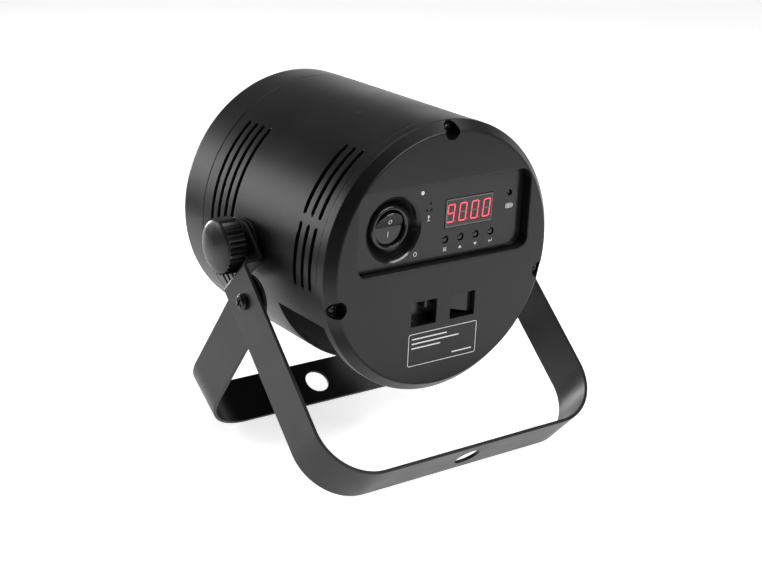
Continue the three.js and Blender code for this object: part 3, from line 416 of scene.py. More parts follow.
PLASTIC = {"IOR": 1.53}
SATIN = {"IOR": 1.53, "Specular IOR Level": 0.36}
METAL = {"Metallic": 1.0}
POWDER = {"IOR": 1.52, "Specular IOR Level": 0.36}
NYLON = {"IOR": 1.53, "Specular IOR Level": 0.34}
VELVET = {"IOR": 1.45, "Specular IOR Level": 0.1}
LIT_TABLE = {"Emission Color": srgb("#ffffff"), "Emission Strength": 0.72, "IOR": 1.49}
SURFACES = {
    # finish: material, colour or the name of the user's, roughness, width and depth of the grain in mm,
    # unevenness of tone and of gloss, width of its blotches in mm, fixed inputs

    # ABS from a spark-eroded mould: a fine even grain that breaks the gloss into a soft sheen.
    # The real grain is about 0.2 mm and is drawn at 0.8 mm so that it shows.
    "case": ("spark_eroded_abs", "case", 0.36, 0.8, 0.012, 0.07, 0.04, 35, SATIN),
    # Polished ABS: smoother than the case, so that it mirrors the room softly.
    "fascia": ("satin_fascia_abs", "fascia", 0.2, 1.4, 0.004, 0.05, 0.03, 22, SATIN),
    # Steel strip under satin powder coat: a low orange peel, with waves of about 1.2 mm.
    "bracket": ("powder_coated_steel", "bracket", 0.36, 1.2, 0.02, 0.06, 0.05, 18, POWDER),
    # Moulded glass-filled nylon: satin, with faint flow marks.
    "knob": ("glass_filled_nylon", "knob", 0.3, 1.6, 0.01, 0.08, 0.06, 7, NYLON),
    # Black ABS from a polished mould, as on rocker switches and sockets.
    "gloss": ("gloss_black_abs", "#161617", 0.22, 2.5, 0.003, 0.05, 0.03, 12, PLASTIC),
    # Steel screws with black oxide: dark metal with a thin oily gloss.
    "black_steel": ("black_oxide_steel", "#3a3a3d", 0.34, 0.6, 0.006, 0.15, 0.08, 3, METAL),
    # Bright zinc plate: pale blue-grey metal with small cloudy crystals.
    "zinc": ("zinc_plated_steel", "#b4b8bd", 0.33, 0.9, 0.006, 0.1, 0.08, 4, METAL),
    # Free-cutting brass, turned: yellow metal with a light tool finish.
    "brass": ("turned_brass", "#c9a45c", 0.3, 0.4, 0.006, 0.08, 0.06, 3, METAL),
    # Moulded EPDM rubber: dull, with a dusty bloom.
    "rubber": ("epdm_rubber", "#1b1b1b", 0.82, 0.7, 0.02, 0.12, 0.06, 5, {"IOR": 1.52}),
    # Natural nylon washers: milky off-white.
    "nylon": ("natural_nylon", "#d9d6cb", 0.45, 1.0, 0.008, 0.04, 0.05, 6, PLASTIC),
    # Blue PVC shrink film on the cells: glossy, with drawn wrinkles.
    "wrap": ("pvc_shrink_wrap", "#2b62b0", 0.28, 3.0, 0.05, 0.08, 0.06, 9, PLASTIC),
    # The display's face: dark grey epoxy with a fine frost.
    "epoxy": ("display_epoxy", "#2e2828", 0.38, 0.8, 0.006, 0.08, 0.05, 6, {"IOR": 1.55}),
    # The display's polycarbonate case, seen round the face as a pale edge.
    "display_case": ("display_case", "#6e6e6d", 0.4, 0.8, 0.006, 0.06, 0.05, 6, {"IOR": 1.58}),
    # White pad-print ink: thin, slightly uneven and matt.
    "print": ("pad_print_ink", "print_ink", 0.55, 0.5, 0.004, 0.05, 0.05, 4, {"IOR": 1.5}),
    # An unlit segment: grey diffuser epoxy that barely shows.
    "unlit": ("unlit_segment", "#6f6669", 0.42, 0.6, 0.004, 0.05, 0.04, 3, {"IOR": 1.55}),
    # Silicone over the emitters' phosphor: warm yellow and slightly glossy.
    "phosphor": ("led_phosphor", "#d8b64a", 0.3, 0.5, 0.01, 0.1, 0.05, 2, {"IOR": 1.41}),
    # A product table of opal acrylic, lit from below: white and matt, so that hardly a shadow falls on it.
    "table": ("opal_acrylic_table", "#f6f6f6", 0.7, 2.0, 0.01, 0.004, 0.03, 200, LIT_TABLE),
    # Black velvet on the studio's flags: it gives nearly no light back.
    "flag": ("black_velvet", "#060606", 0.95, 1.0, 0.05, 0.1, 0.03, 40, VELVET),
}


def surface(name, colour, roughness, grain_mm, depth_mm, tone, gloss, blotch_mm, fixed):
    """A material of one colour with its grain, its unevenness in tone and its unevenness in gloss."""
    material, tree, where = new_material(name)
    blotch = add(tree, "ShaderNodeTexNoise", features(where, blotch_mm, 3))
    rough = add(tree, "ShaderNodeMapRange", spread(blotch, roughness - gloss, roughness + gloss))
    inputs = {"Base Color": toned(tree, blotch, colour, tone), "Roughness": rough, **fixed}
    return shaded(material, add(tree, "ShaderNodeTexNoise", features(where, grain_mm)), depth_mm, inputs)


def extruded_aluminium():
    """Mill-finish extrusion, drawn out in fine lines along Z."""
    material, tree, where = new_material("extruded_aluminium")
    along = add(tree, "ShaderNodeMapping", {"Vector": where, "Scale": (1, 1, 0.04)}).outputs[0]
    lines = add(tree, "ShaderNodeTexNoise", features(along, 0.7, 3))
    rough = add(tree, "ShaderNodeMapRange", spread(lines, 0.28, 0.42))
    colour = toned(tree, lines, srgb("#b9bbbd"), 0.1)
    return shaded(material, lines, 0.01, {"Base Color": colour, "Roughness": rough, **METAL})


def solder_mask(name, code):
    """Epoxy board under solder mask, with the copper tracks showing as slightly darker bands."""
    material, tree, where = new_material(name)
    cell_scale = 1 / (4 * MM)
    track = add(tree, "ShaderNodeTexVoronoi", {"Vector": where, "Scale": cell_scale}, distance="MANHATTAN")
    for operation, inputs in (("MULTIPLY", {1: 3.0}), ("FRACT", {}), ("GREATER_THAN", {1: 0.6})):
        track = add(tree, "ShaderNodeMath", {0: track, **inputs}, operation=operation)
    colour = toned(tree, track, srgb(code), 0.18)
    return shaded(material, track, 0.02, {"Base Color": colour, "Roughness": 0.32})


def clear_polymer(name, roughness, ior, dimple_mm, depth_mm):
    """A clear polymer. Its shader passes light, and a low ripple shows where it is moulded."""
    material, tree, where = new_material(name)
    ripple = add(tree, "ShaderNodeTexNoise", features(where, dimple_mm, 1))
    rough = add(tree, "ShaderNodeMapRange", spread(ripple, roughness, roughness + 0.03))
    clear = {"Base Color": srgb("#f4f8f9"), "Transmission Weight": 1, "IOR": ior}
    return shaded(material, ripple, depth_mm, {"Roughness": rough, **clear})


def lit_epoxy(colour):
    """Lit epoxy: the colour glows, a little unevenly."""
    material, tree, where = new_material("lit_segment")
    uneven = add(tree, "ShaderNodeTexNoise", features(where, 0.8, 1))
    glow = toned(tree, uneven, colour, 0.1)
    inputs = {"Base Color": glow, "Emission Color": glow, "Emission Strength": 1.7, "Roughness": 0.4}
    return shaded(material, None, 0, inputs)


FINISHES = {}


def finish(name):
    """The material of that name, made once. Those that take a user's colour read it when first made."""
    if name in FINISHES:
        return FINISHES[name]
    colours = bpy.context.scene.par_can_colours
    makers = {
        "aluminium": extruded_aluminium,
        "board": lambda: solder_mask("green_solder_mask", "#1f5a34"),
        "white_board": lambda: solder_mask("white_solder_mask", "#e4e4e0"),
        "cover_glass": lambda: clear_polymer("polycarbonate_cover", 0.02, 1.58, 30, 0.004),
        "lens": lambda: clear_polymer("moulded_acrylic", 0.05, 1.49, 1.6, 0.05),
        "lit": lambda: lit_epoxy(colours.lit),
    }
    if name in makers:
        FINISHES[name] = makers[name]()
    else:
        label, colour, *look = SURFACES[name]
        colour = srgb(colour) if colour[0] == "#" else getattr(colours, colour)
        FINISHES[name] = surface(label, colour, *look)
    return FINISHES[name]


# ------------------------------------------------------------------ geometry nodes for what repeats
def new_tree(name, **own):
    """A geometry tree with its own inputs, an item to repeat and a material, and those inputs' sockets."""
    tree = bpy.data.node_groups.new(name, "GeometryNodeTree")
    for label, kind in {**own, "Item": "Object", "Material": "Material"}.items():
        label = label.replace("_", " ")
        tree.interface.new_socket(label, in_out="INPUT", socket_type=f"NodeSocket{kind}")
    tree.interface.new_socket("Geometry", in_out="OUTPUT", socket_type="NodeSocketGeometry")
    return tree, add(tree, "NodeGroupInput").outputs


def end_tree(tree, given, points, turned=None):
    """Put the item on each point, make it real, set its material and put it out."""
    item = add(tree, "GeometryNodeObjectInfo", {"Object": given["Item"]}).outputs["Geometry"]
    put = {"Points": points, "Instance": item, **(turned or {})}
    items = add(tree, "GeometryNodeInstanceOnPoints", put)
    real = add(tree, "GeometryNodeRealizeInstances", {"Geometry": items})
    made = add(tree, "GeometryNodeSetMaterial", {"Geometry": real, "Material": given["Material"]})
    add(tree, "NodeGroupOutput", {"Geometry": made})
    return tree


def ring_tree():
    """Items round the Y axis: each is turned with its place on the circle."""
    tree, given = new_tree("ring_of_items", Count="Int", Radius="Float", First_angle="Float")
    step = add(tree, "ShaderNodeMath", {0: math.tau, 1: given["Count"]}, operation="DIVIDE")
    index = add(tree, "GeometryNodeInputIndex")
    reached = add(tree, "ShaderNodeMath", {0: index, 1: step}, operation="MULTIPLY")
    angle = add(tree, "ShaderNodeMath", {0: reached, 1: given["First angle"]}, operation="ADD")
    spot = {}
    for axis, operation in (("X", "COSINE"), ("Z", "SINE")):
        share = add(tree, "ShaderNodeMath", {0: angle}, operation=operation)
        spot[axis] = add(tree, "ShaderNodeMath", {0: share, 1: given["Radius"]}, operation="MULTIPLY")
    where = add(tree, "ShaderNodeCombineXYZ", spot)
    points = add(tree, "GeometryNodePoints", {"Count": given["Count"]})
    placed = add(tree, "GeometryNodeSetPosition", {"Geometry": points, "Position": where})
    back = add(tree, "ShaderNodeMath", {0: angle, 1: -1.0}, operation="MULTIPLY")
    return end_tree(tree, given, placed, {"Rotation": add(tree, "ShaderNodeCombineXYZ", {"Y": back})})


def fins_tree():
    """A row of fins along X whose length follows the chord of a round base."""
    tree, given = new_tree("row_of_fins", Count="Int", Pitch="Float", Radius="Float")
    last = add(tree, "ShaderNodeMath", {0: given["Count"], 1: 1.0}, operation="SUBTRACT")
    middle = add(tree, "ShaderNodeMath", {0: last, 1: 2.0}, operation="DIVIDE")
    index = add(tree, "GeometryNodeInputIndex")
    away = add(tree, "ShaderNodeMath", {0: index, 1: middle}, operation="SUBTRACT")
    x = add(tree, "ShaderNodeMath", {0: away, 1: given["Pitch"]}, operation="MULTIPLY")
    points = add(tree, "GeometryNodePoints", {"Count": given["Count"]})
    spot = add(tree, "ShaderNodeCombineXYZ", {"X": x})
    placed = add(tree, "GeometryNodeSetPosition", {"Geometry": points, "Position": spot})
    share = add(tree, "ShaderNodeMath", {0: x, 1: given["Radius"]}, operation="DIVIDE")
    squared = add(tree, "ShaderNodeMath", {0: share, 1: share}, operation="MULTIPLY")
    rest = add(tree, "ShaderNodeMath", {0: 1.0, 1: squared}, operation="SUBTRACT")
    chord = add(tree, "ShaderNodeMath", {0: rest}, operation="SQRT")
    scale = add(tree, "ShaderNodeCombineXYZ", {"X": 1.0, "Y": 1.0, "Z": chord})
    return end_tree(tree, given, placed, {"Scale": scale})


def places_tree():
    """Items on the carrier's points, each facing as its "facing" says, and turned about that by chance."""
    tree, given = new_tree("items_on_places", Geometry="Geometry", Seed="Int", Turn="Float")
    facing = add(tree, "GeometryNodeInputNamedAttribute", {"Name": "facing"}, data_type="FLOAT_VECTOR")
    drawn = {"Seed": given["Seed"], "Max": given["Turn"]}
    chance = add(tree, "FunctionNodeRandomValue", drawn, data_type="FLOAT")
    spin = add(tree, "ShaderNodeCombineXYZ", {"Y": chance})
    euler = add(tree, "FunctionNodeEulerToRotation", {"Euler": spin})
    lined = add(tree, "FunctionNodeAlignRotationToVector", {"Vector": facing}, axis="Y", pivot_axis="AUTO")
    both = {"Rotation": lined, "Rotate By": euler}
    turned = add(tree, "FunctionNodeRotateRotation", both, rotation_space="LOCAL")
    return end_tree(tree, given, given["Geometry"], {"Rotation": turned})


def repeated(tree, item, material, carrier=None, **values):
    """The tree's result as a bmesh. Inputs are set by their sockets' identifiers."""
    source = loose(item, "item")
    holder = carrier or loose(bmesh.new(), "holder")
    step = holder.modifiers.new("repeat", "NODES")
    given = {"Item": source, "Material": material, **{key.replace("_", " "): v for key, v in values.items()}}
    sockets = {s.name: s.identifier for s in tree.interface.items_tree if s.in_out == "INPUT"}
    for key, value in given.items():
        step[sockets[key]] = value
    step.node_group = tree
    for key, value in given.items():
        step[sockets[key]] = value
    done = settled(holder)
    bpy.data.objects.remove(source)
    return done


def places(points):
    """A carrier with a vertex at each (position, facing)."""
    data = bpy.data.meshes.new("places")
    data.from_pydata([position for position, _ in points], [], [])
    facing = data.attributes.new("facing", "FLOAT_VECTOR", "POINT")
    facing.data.foreach_set("vector", [c for _, direction in points for c in direction])
    made = bpy.data.objects.new("places", data)
    bpy.context.scene.collection.objects.link(made)
    return made


# ------------------------------------------------------------------ the barrel
FRONT_SLOTS = {"rows": [89.6 + 6.45 * i for i in range(4)], "arcs": [(-48, 48)]}
REAR_SLOTS = {"rows": [15.7 + 6.6 * i for i in range(3)], "arcs": [(21.4, 54.4), (-8.4, 18)]}
NOTCH_EDGE = -23.5  # degrees below the horizontal where the notch cuts the barrel
BARREL_START = COVER_HIGH.y + 0.3  # a seam's width in front of the rear cover
BARREL_END = RING_HIGH.y - 23.1  # where the front ring takes over


def slot_cells(width):
    """Each slot as (first y, last y, first angle, last angle), on both sides of the barrel."""
    cells = []
    for group in (FRONT_SLOTS, REAR_SLOTS):
        for y in group["rows"]:
            for low, high in group["arcs"]:
                cells.append((y, y + width, low, high))
                cells.append((y, y + width, 180 - high, 180 - low))
    return cells


def grid_lines(marks, step, low, high, closed):
    """Even lines with the marks among them, where no even line crowds a mark."""
    lines = set(round(m, 4) for m in marks)
    count = round((high - low) / step)
    for k in range(count + (0 if closed else 1)):
        value = low + (high - low) * k / count
        if all(abs(value - m) > step * 0.45 for m in marks):
            lines.add(round(value, 4))
    return sorted(lines)


def barrel_shell(wall, width, edge):
    """The barrel's wall as cells on its cone: those in a slot or in the notch are left out."""
    start, end = BARREL_START, BARREL_END
    rear_r = BARREL_HIGH.z
    front_r = RING_HIGH.z
    notch_end = local_notch_end()
    slots = slot_cells(width)
    angle_marks = [a % 360 for s in slots for a in s[2:]] + [(180 - NOTCH_EDGE) % 360, NOTCH_EDGE % 360]
    angles = grid_lines(angle_marks, 2.5, 0, 360, True)
    rows = grid_lines([start, end, notch_end] + [y for s in slots for y in s[:2]], 12, start, end, False)

    def gone(y, a):
        in_notch = y < notch_end and 180 - NOTCH_EDGE < a < 360 + NOTCH_EDGE
        return in_notch or any(s[0] < y < s[1] and (s[2] < a < s[3] or s[2] < a - 360 < s[3]) for s in slots)

    mesh = bmesh.new()
    made = {}

    def corner(i, j, inner):
        key = (i % len(angles), j, inner)
        if key not in made:
            share = (rows[j] - start) / (end - start)
            r = rear_r + (front_r - rear_r) * share - (wall if inner else 0)
            a = math.radians(angles[key[0]])
            made[key] = mesh.verts.new((r * math.cos(a), rows[j], r * math.sin(a)))
        return made[key]

    def kept(i, j):
        if not 0 <= j < len(rows) - 1:
            return False
        first = angles[i % len(angles)]
        last = angles[(i + 1) % len(angles)]
        if last < first:
            last += 360
        return not gone((rows[j] + rows[j + 1]) / 2, (first + last) / 2)

    for j in range(len(rows) - 1):
        for i in range(len(angles)):
            if not kept(i, j):
                continue
            for inner in (False, True):
                cell = ((i, j), (i + 1, j), (i + 1, j + 1), (i, j + 1))
                mesh.faces.new([corner(*spot, inner) for spot in cell])
            sides = [((i - 1, j), (i, j), (i, j + 1)), ((i + 1, j), (i + 1, j), (i + 1, j + 1))]
            sides += [((i, j - 1), (i, j), (i + 1, j)), ((i, j + 1), (i, j + 1), (i + 1, j + 1))]
            for neighbour, p, q in sides:
                if not kept(*neighbour):
                    edge_spots = ((p, False), (q, False), (q, True), (p, True))
                    mesh.faces.new([corner(*spot, inner) for spot, inner in edge_spots])
    round_slot_ends(mesh, made, angles, rows, slots, width)
    bmesh.ops.recalc_face_normals(mesh, faces=mesh.faces)
    return edged(mesh, edge, 3, 50)


def round_slot_ends(mesh, made, angles, rows, slots, width):
    """Rounds the four through-edges at the ends of each slot."""
    ends = []
    for y0, y1, a0, a1 in slots:
        for y in (y0, y1):
            for a in (a0, a1):
                i = min(range(len(angles)), key=lambda n: abs(angles[n] - a % 360))
                j = min(range(len(rows)), key=lambda n: abs(rows[n] - y))
                edge = mesh.edges.get((made[(i, j, False)], made[(i, j, True)]))
                if edge:
                    ends.append(edge)
    nearly_half = 0.42
    bmesh.ops.bevel(mesh, geom=ends, offset=width * nearly_half, segments=4, profile=0.5, affect="EDGES")


def local_notch_end():
    """Where the barrel closes again in front of the notch: the lowest stretch of its rear edge."""
    back = HEAD.inverted()
    low = [back @ v.co for v in frame["nodes"]["housing"].data.vertices]
    return min(p.y for p in low if p.z < BARREL_LOW.z * 0.9)


def notch_linings(wall):
    """The notch's flat ceiling and its end wall, trimmed to the barrel's form."""
    start = BARREL_START
    end = local_notch_end()
    ceiling_z = BARREL_HIGH.z * math.sin(math.radians(NOTCH_EDGE))
    ceiling = block((-80, start, ceiling_z), (80, end + wall, ceiling_z + wall))
    end_wall = block((-80, end, -80), (80, end + wall, ceiling_z + wall))
    trimmed = []
    for plate, inset in ((ceiling, 0.6), (end_wall, 0.9)):
        r = BARREL_HIGH.z - inset
        form = lathe([(0, start), (r, start), (r, end + wall), (0, end + wall)], 144)
        trimmed.append(edged(combined(plate, [form], "INTERSECT"), 0.25))
    return together(*trimmed)


class PARCAN_OT_barrel(bpy.types.Operator):
    """Make the barrel with its slots, notch and pivot bosses"""

    bl_idname = "par_can.barrel"
    bl_label = "Barrel"

    def execute(self, context):
        sizes = context.scene.par_can_sizes
        wall = sizes.barrel_wall / MM
        parts = [barrel_shell(wall, sizes.slot_width / MM, sizes.edge / MM), notch_linings(wall)]
        bore, rim, root = 5.4, 13, -9
        for side in (1, -1):
            profile = [(bore, root), (rim, root), (rim, 0), (bore, 0)]
            boss = lathe(rounded(profile, [0, 0, 0.6, 0.4]), 64)
            turn = Matrix.Rotation(math.radians(-90 * side), 3, "Z")
            bmesh.ops.rotate(boss, verts=boss.verts, matrix=turn)
            parts.append(shifted(boss, (side * BARREL_HIGH.x, PIVOT.y, PIVOT.z)))
        on_head("barrel", together(*parts), "case", "case_plastic", ["housing"])
        return {"FINISHED"}


# ------------------------------------------------------------------ the front and its optics
LENS_COUNT = 6
LENS_CIRCLE = 40.0
FIRST_LENS = 30.0


def ring_of_lenses(item, look):
    """The item at each lens's place."""
    first = math.radians(FIRST_LENS)
    settings = {"Count": LENS_COUNT, "Radius": LENS_CIRCLE, "First_angle": first}
    return repeated(ring_tree(), item, finish(look), **settings)


class PARCAN_OT_front(bpy.types.Operator):
    """Make the front ring, its cover glass, the lenses and the board with its emitters"""

    bl_idname = "par_can.front"
    bl_label = "Front and optics"

    def execute(self, context):
        self.ring()
        self.glass()
        self.holder()
        self.lenses()
        self.board()
        return {"FINISHED"}

    def ring(self):
        rear = RING_LOW.y + 5.4
        front = RING_HIGH.y
        outer = RING_HIGH.z
        profile = [
            (64.6, RING_LOW.y),
            (67.4, RING_LOW.y),
            (67.4, rear),
            (outer - 0.05, rear),
            (outer - 0.5, front),
            (60.5, front),
            (60.5, front - 3.2),
            (64.6, front - 3.2),
        ]
        shape = rounded(profile, [0.3, 0.3, 0, 0.4, 3.6, 1.2, 0.4, 0], 7)
        on_head("front_ring_shell", lathe(shape, 192), "case", "case_plastic", ["front_ring"])

    def glass(self):
        low, high = local_box("front_glass", HEAD)
        r = high.x
        profile = [(0, low.y), (r, low.y), (r, high.y), (0, high.y)]
        shape = rounded(profile, [0, 0.5, 0.5, 0], 3)
        on_head("cover_glass", lathe(shape, 128), "cover_glass", "clear_cover", ["front_glass"])

    def holder(self):
        low, high = local_box("lens_holder", HEAD)
        disc = lathe([(0, low.y), (high.x, low.y), (high.x, high.y), (0, high.y)], 128)
        tools = []
        angles = [FIRST_LENS + 360 / LENS_COUNT * k for k in range(LENS_COUNT)]
        for spot in curve(angles, LENS_CIRCLE, LENS_CIRCLE):
            hole = circle(14.9, spot, 64)
            tools.append(loft((hole, low.y - 1), (hole, high.y + 1)))
        on_head("lens_plate", edged(combined(disc, tools), 0.3), "gloss", "gloss_plastic", ["lens_holder"])

    def lenses(self):
        """Collimators: a cone that flares from the emitter, a flange, and a low dome in front."""
        back, front = (corner.y for corner in local_box("lens_1", HEAD))
        shoulder = local_box("lens_holder", HEAD)[1].y + 0.3
        foot, mouth, flange, dome = 7.5, 14.5, 17, 15.6
        rise = 1.6
        profile = [(0, back + 5), (3.4, back + 4.4), (4.0, back), (foot, back)]
        for k in range(1, 9):
            share = k / 8
            profile.append((foot + (mouth - foot) * share**0.72, back + (shoulder - back) * share))
        profile += [(flange, shoulder), (flange, shoulder + 1.6), (dome, shoulder + 2.2)]
        profile += curve(range(10, 91, 10), dome, rise, (0, front - rise))
        names = [f"lens_{k + 1}" for k in range(LENS_COUNT)]
        on_head("lens_set", ring_of_lenses(lathe(profile, 40), "lens"), "lens", "lens_acrylic", names)

    def board(self):
        low, high = local_box("led_board", HEAD)
        face = high.y - 1
        outline = [(0, low.y), (high.x, low.y), (high.x, face), (0, face)]
        disc = lathe(rounded(outline, [0, 0.2, 0.2, 0], 2), 96)
        on_head("emitter_board", disc, "white_board", "led_board", ["led_board"])
        dome = [(0, 1.5)] + curve(range(75, -1, -15), 1.7, 1, (0, 0.5)) + [(1.7, 0), (0, 0)]
        body = edged(block((-2.5, -0.3, -2.5), (2.5, 0.6, 2.5)), 0.15)
        item = shifted(together(body, lathe(dome, 20)), (0, face, 0))
        on_head("emitters", ring_of_lenses(item, "phosphor"), "phosphor", "led_board")


# ------------------------------------------------------------------ the rear cover
WELLS = {"top": 90.0, "left": 194.0, "right": -14.0}
WELL_INSET = 4.85
SCREW_INSET = 4.9
WELL_FLOOR = 7.0
CHAMFER = (4.8, 5.2)
WINDOWS = {"left": -11.7, "right": 13.3}
WINDOW_SIZE = (16.0, 13.0)
WINDOW_Z = -26.6


def well_spot(angle, inset):
    r = COVER_HIGH.z - inset
    return curve([angle], r, r)[0]


class PARCAN_OT_rear_cover(bpy.types.Operator):
    """Make the rear cover with its recess, windows and screw wells"""

    bl_idname = "par_can.rear_cover"
    bl_label = "Rear cover"

    def execute(self, context):
        well = context.scene.par_can_sizes.well / MM
        r = COVER_HIGH.z
        rim, inner, thick = 10.8, 10.9, 2.5
        profile = [(0, 0), (r - CHAMFER[0], 0), (r, CHAMFER[1]), (r, rim), (r - inner, rim)]
        profile += [(r - inner, thick), (0, thick)]
        shell = lathe(rounded(profile, [0, 1.8, 1.6, 0.4, 0.4, 0.8, 0], 7), 256)
        flat = math.radians(0.05)
        bmesh.ops.dissolve_limit(shell, angle_limit=flat, verts=shell.verts, edges=shell.edges)
        left, right = PANEL_LOW.x - 0.3, PANEL_HIGH.x + 0.3
        low, high = PANEL_LOW.z - 0.3, PANEL_HIGH.z + 0.3
        box = lambda grow: frame_outline(left, right, low, high, 6.5, grow)
        back = 9.6
        form = lathe([(0, 1), (r - 0.8, 1), (r - 0.8, back), (0, back)], 256)
        collar = combined(loft((box(2.0), 2.0), (box(2.0), back)), [form], "INTERSECT")
        solid = combined(shell, [collar], "UNION")
        cuts = [sunk(box, 0, 7.6, 0.7), loft((box(-3.0), 6), (box(-3.0), 14))]
        for x in WINDOWS.values():
            w, h = WINDOW_SIZE
            window = lambda grow, x=x: frame_outline(
                x - w / 2, x + w / 2, WINDOW_Z - h / 2, WINDOW_Z + h / 2, 0.5, grow, 3
            )
            cuts.append(sunk(window, 0, 4, 0.3))
        for angle in WELLS.values():
            mouth = circle(well, well_spot(angle, WELL_INSET), 64)
            hole = circle(1.9, well_spot(angle, SCREW_INSET), 24)
            cuts += [loft((mouth, -1), (mouth, WELL_FLOOR)), loft((hole, 5), (hole, 14))]
        on_head("rear_shell", combined(solid, cuts), "case", "case_plastic", ["rear_cover"], weight=95)
        self.label()
        return {"FINISHED"}

    def label(self):
        """A blank type plate: a printed outline with a few plain rules."""
        plate = (-20.7, 23.7, -54.6, -36.9, 1.2)
        marks = [print_ring(frame_outline(*plate), frame_outline(*plate, -0.35), 0)]
        rules = [(-18.5, 4.0, -39.9), (-18.5, 12.0, -42.4), (-18.5, 0.0, -44.9), (8.0, 21.0, -51.6)]
        for x0, x1, z in rules:
            marks.append(printed(rectangle(x0, x1, z - 0.35, z + 0.35), 0))
        on_head("type_plate_print", together(*marks), "print", "fascia_plastic")


INK_ROOT = 0.03  # printed marks start a little under the face
INK_PROUD = 0.05


def printed(outline, face):
    """A printed mark, barely proud of the face."""
    return loft((outline, face - INK_ROOT), (outline, face + INK_PROUD))


def print_ring(outer, inner, face):
    """A printed closed line between two outlines."""
    low, high = face - INK_ROOT, face + INK_PROUD
    lines = ((outer, low), (inner, low), (inner, high), (outer, high))
    return skinned([[(x, y, z) for x, z in line] for line, y in lines], capped=False)


# ------------------------------------------------------------------ the control panel
FACE = PANEL_LOW.y  # the fascia's surface
SWITCH = ((SWITCH_LOW.x + SWITCH_HIGH.x) / 2, (SWITCH_LOW.z + SWITCH_HIGH.z) / 2)
BUTTONS = {name: local_box(f"button_{name}", HEAD) for name in ("menu", "up", "down", "enter")}
ON_MARK = (-12.5, 35.2)
OFF_MARK = (-15.4, 3.7)
MIC_MARK = (-8.0, 21.6)
MIC_HOLES = [(-7.1, 29.1), (-9.4, 25.8), (-6.4, 25.6)]


def middle(node):
    """Where a CAD node's middle is in the head's x and z."""
    low, high = local_box(node, HEAD)
    return ((low.x + high.x) / 2, (low.z + high.z) / 2)


def button_spot(name):
    return middle(f"button_{name}")


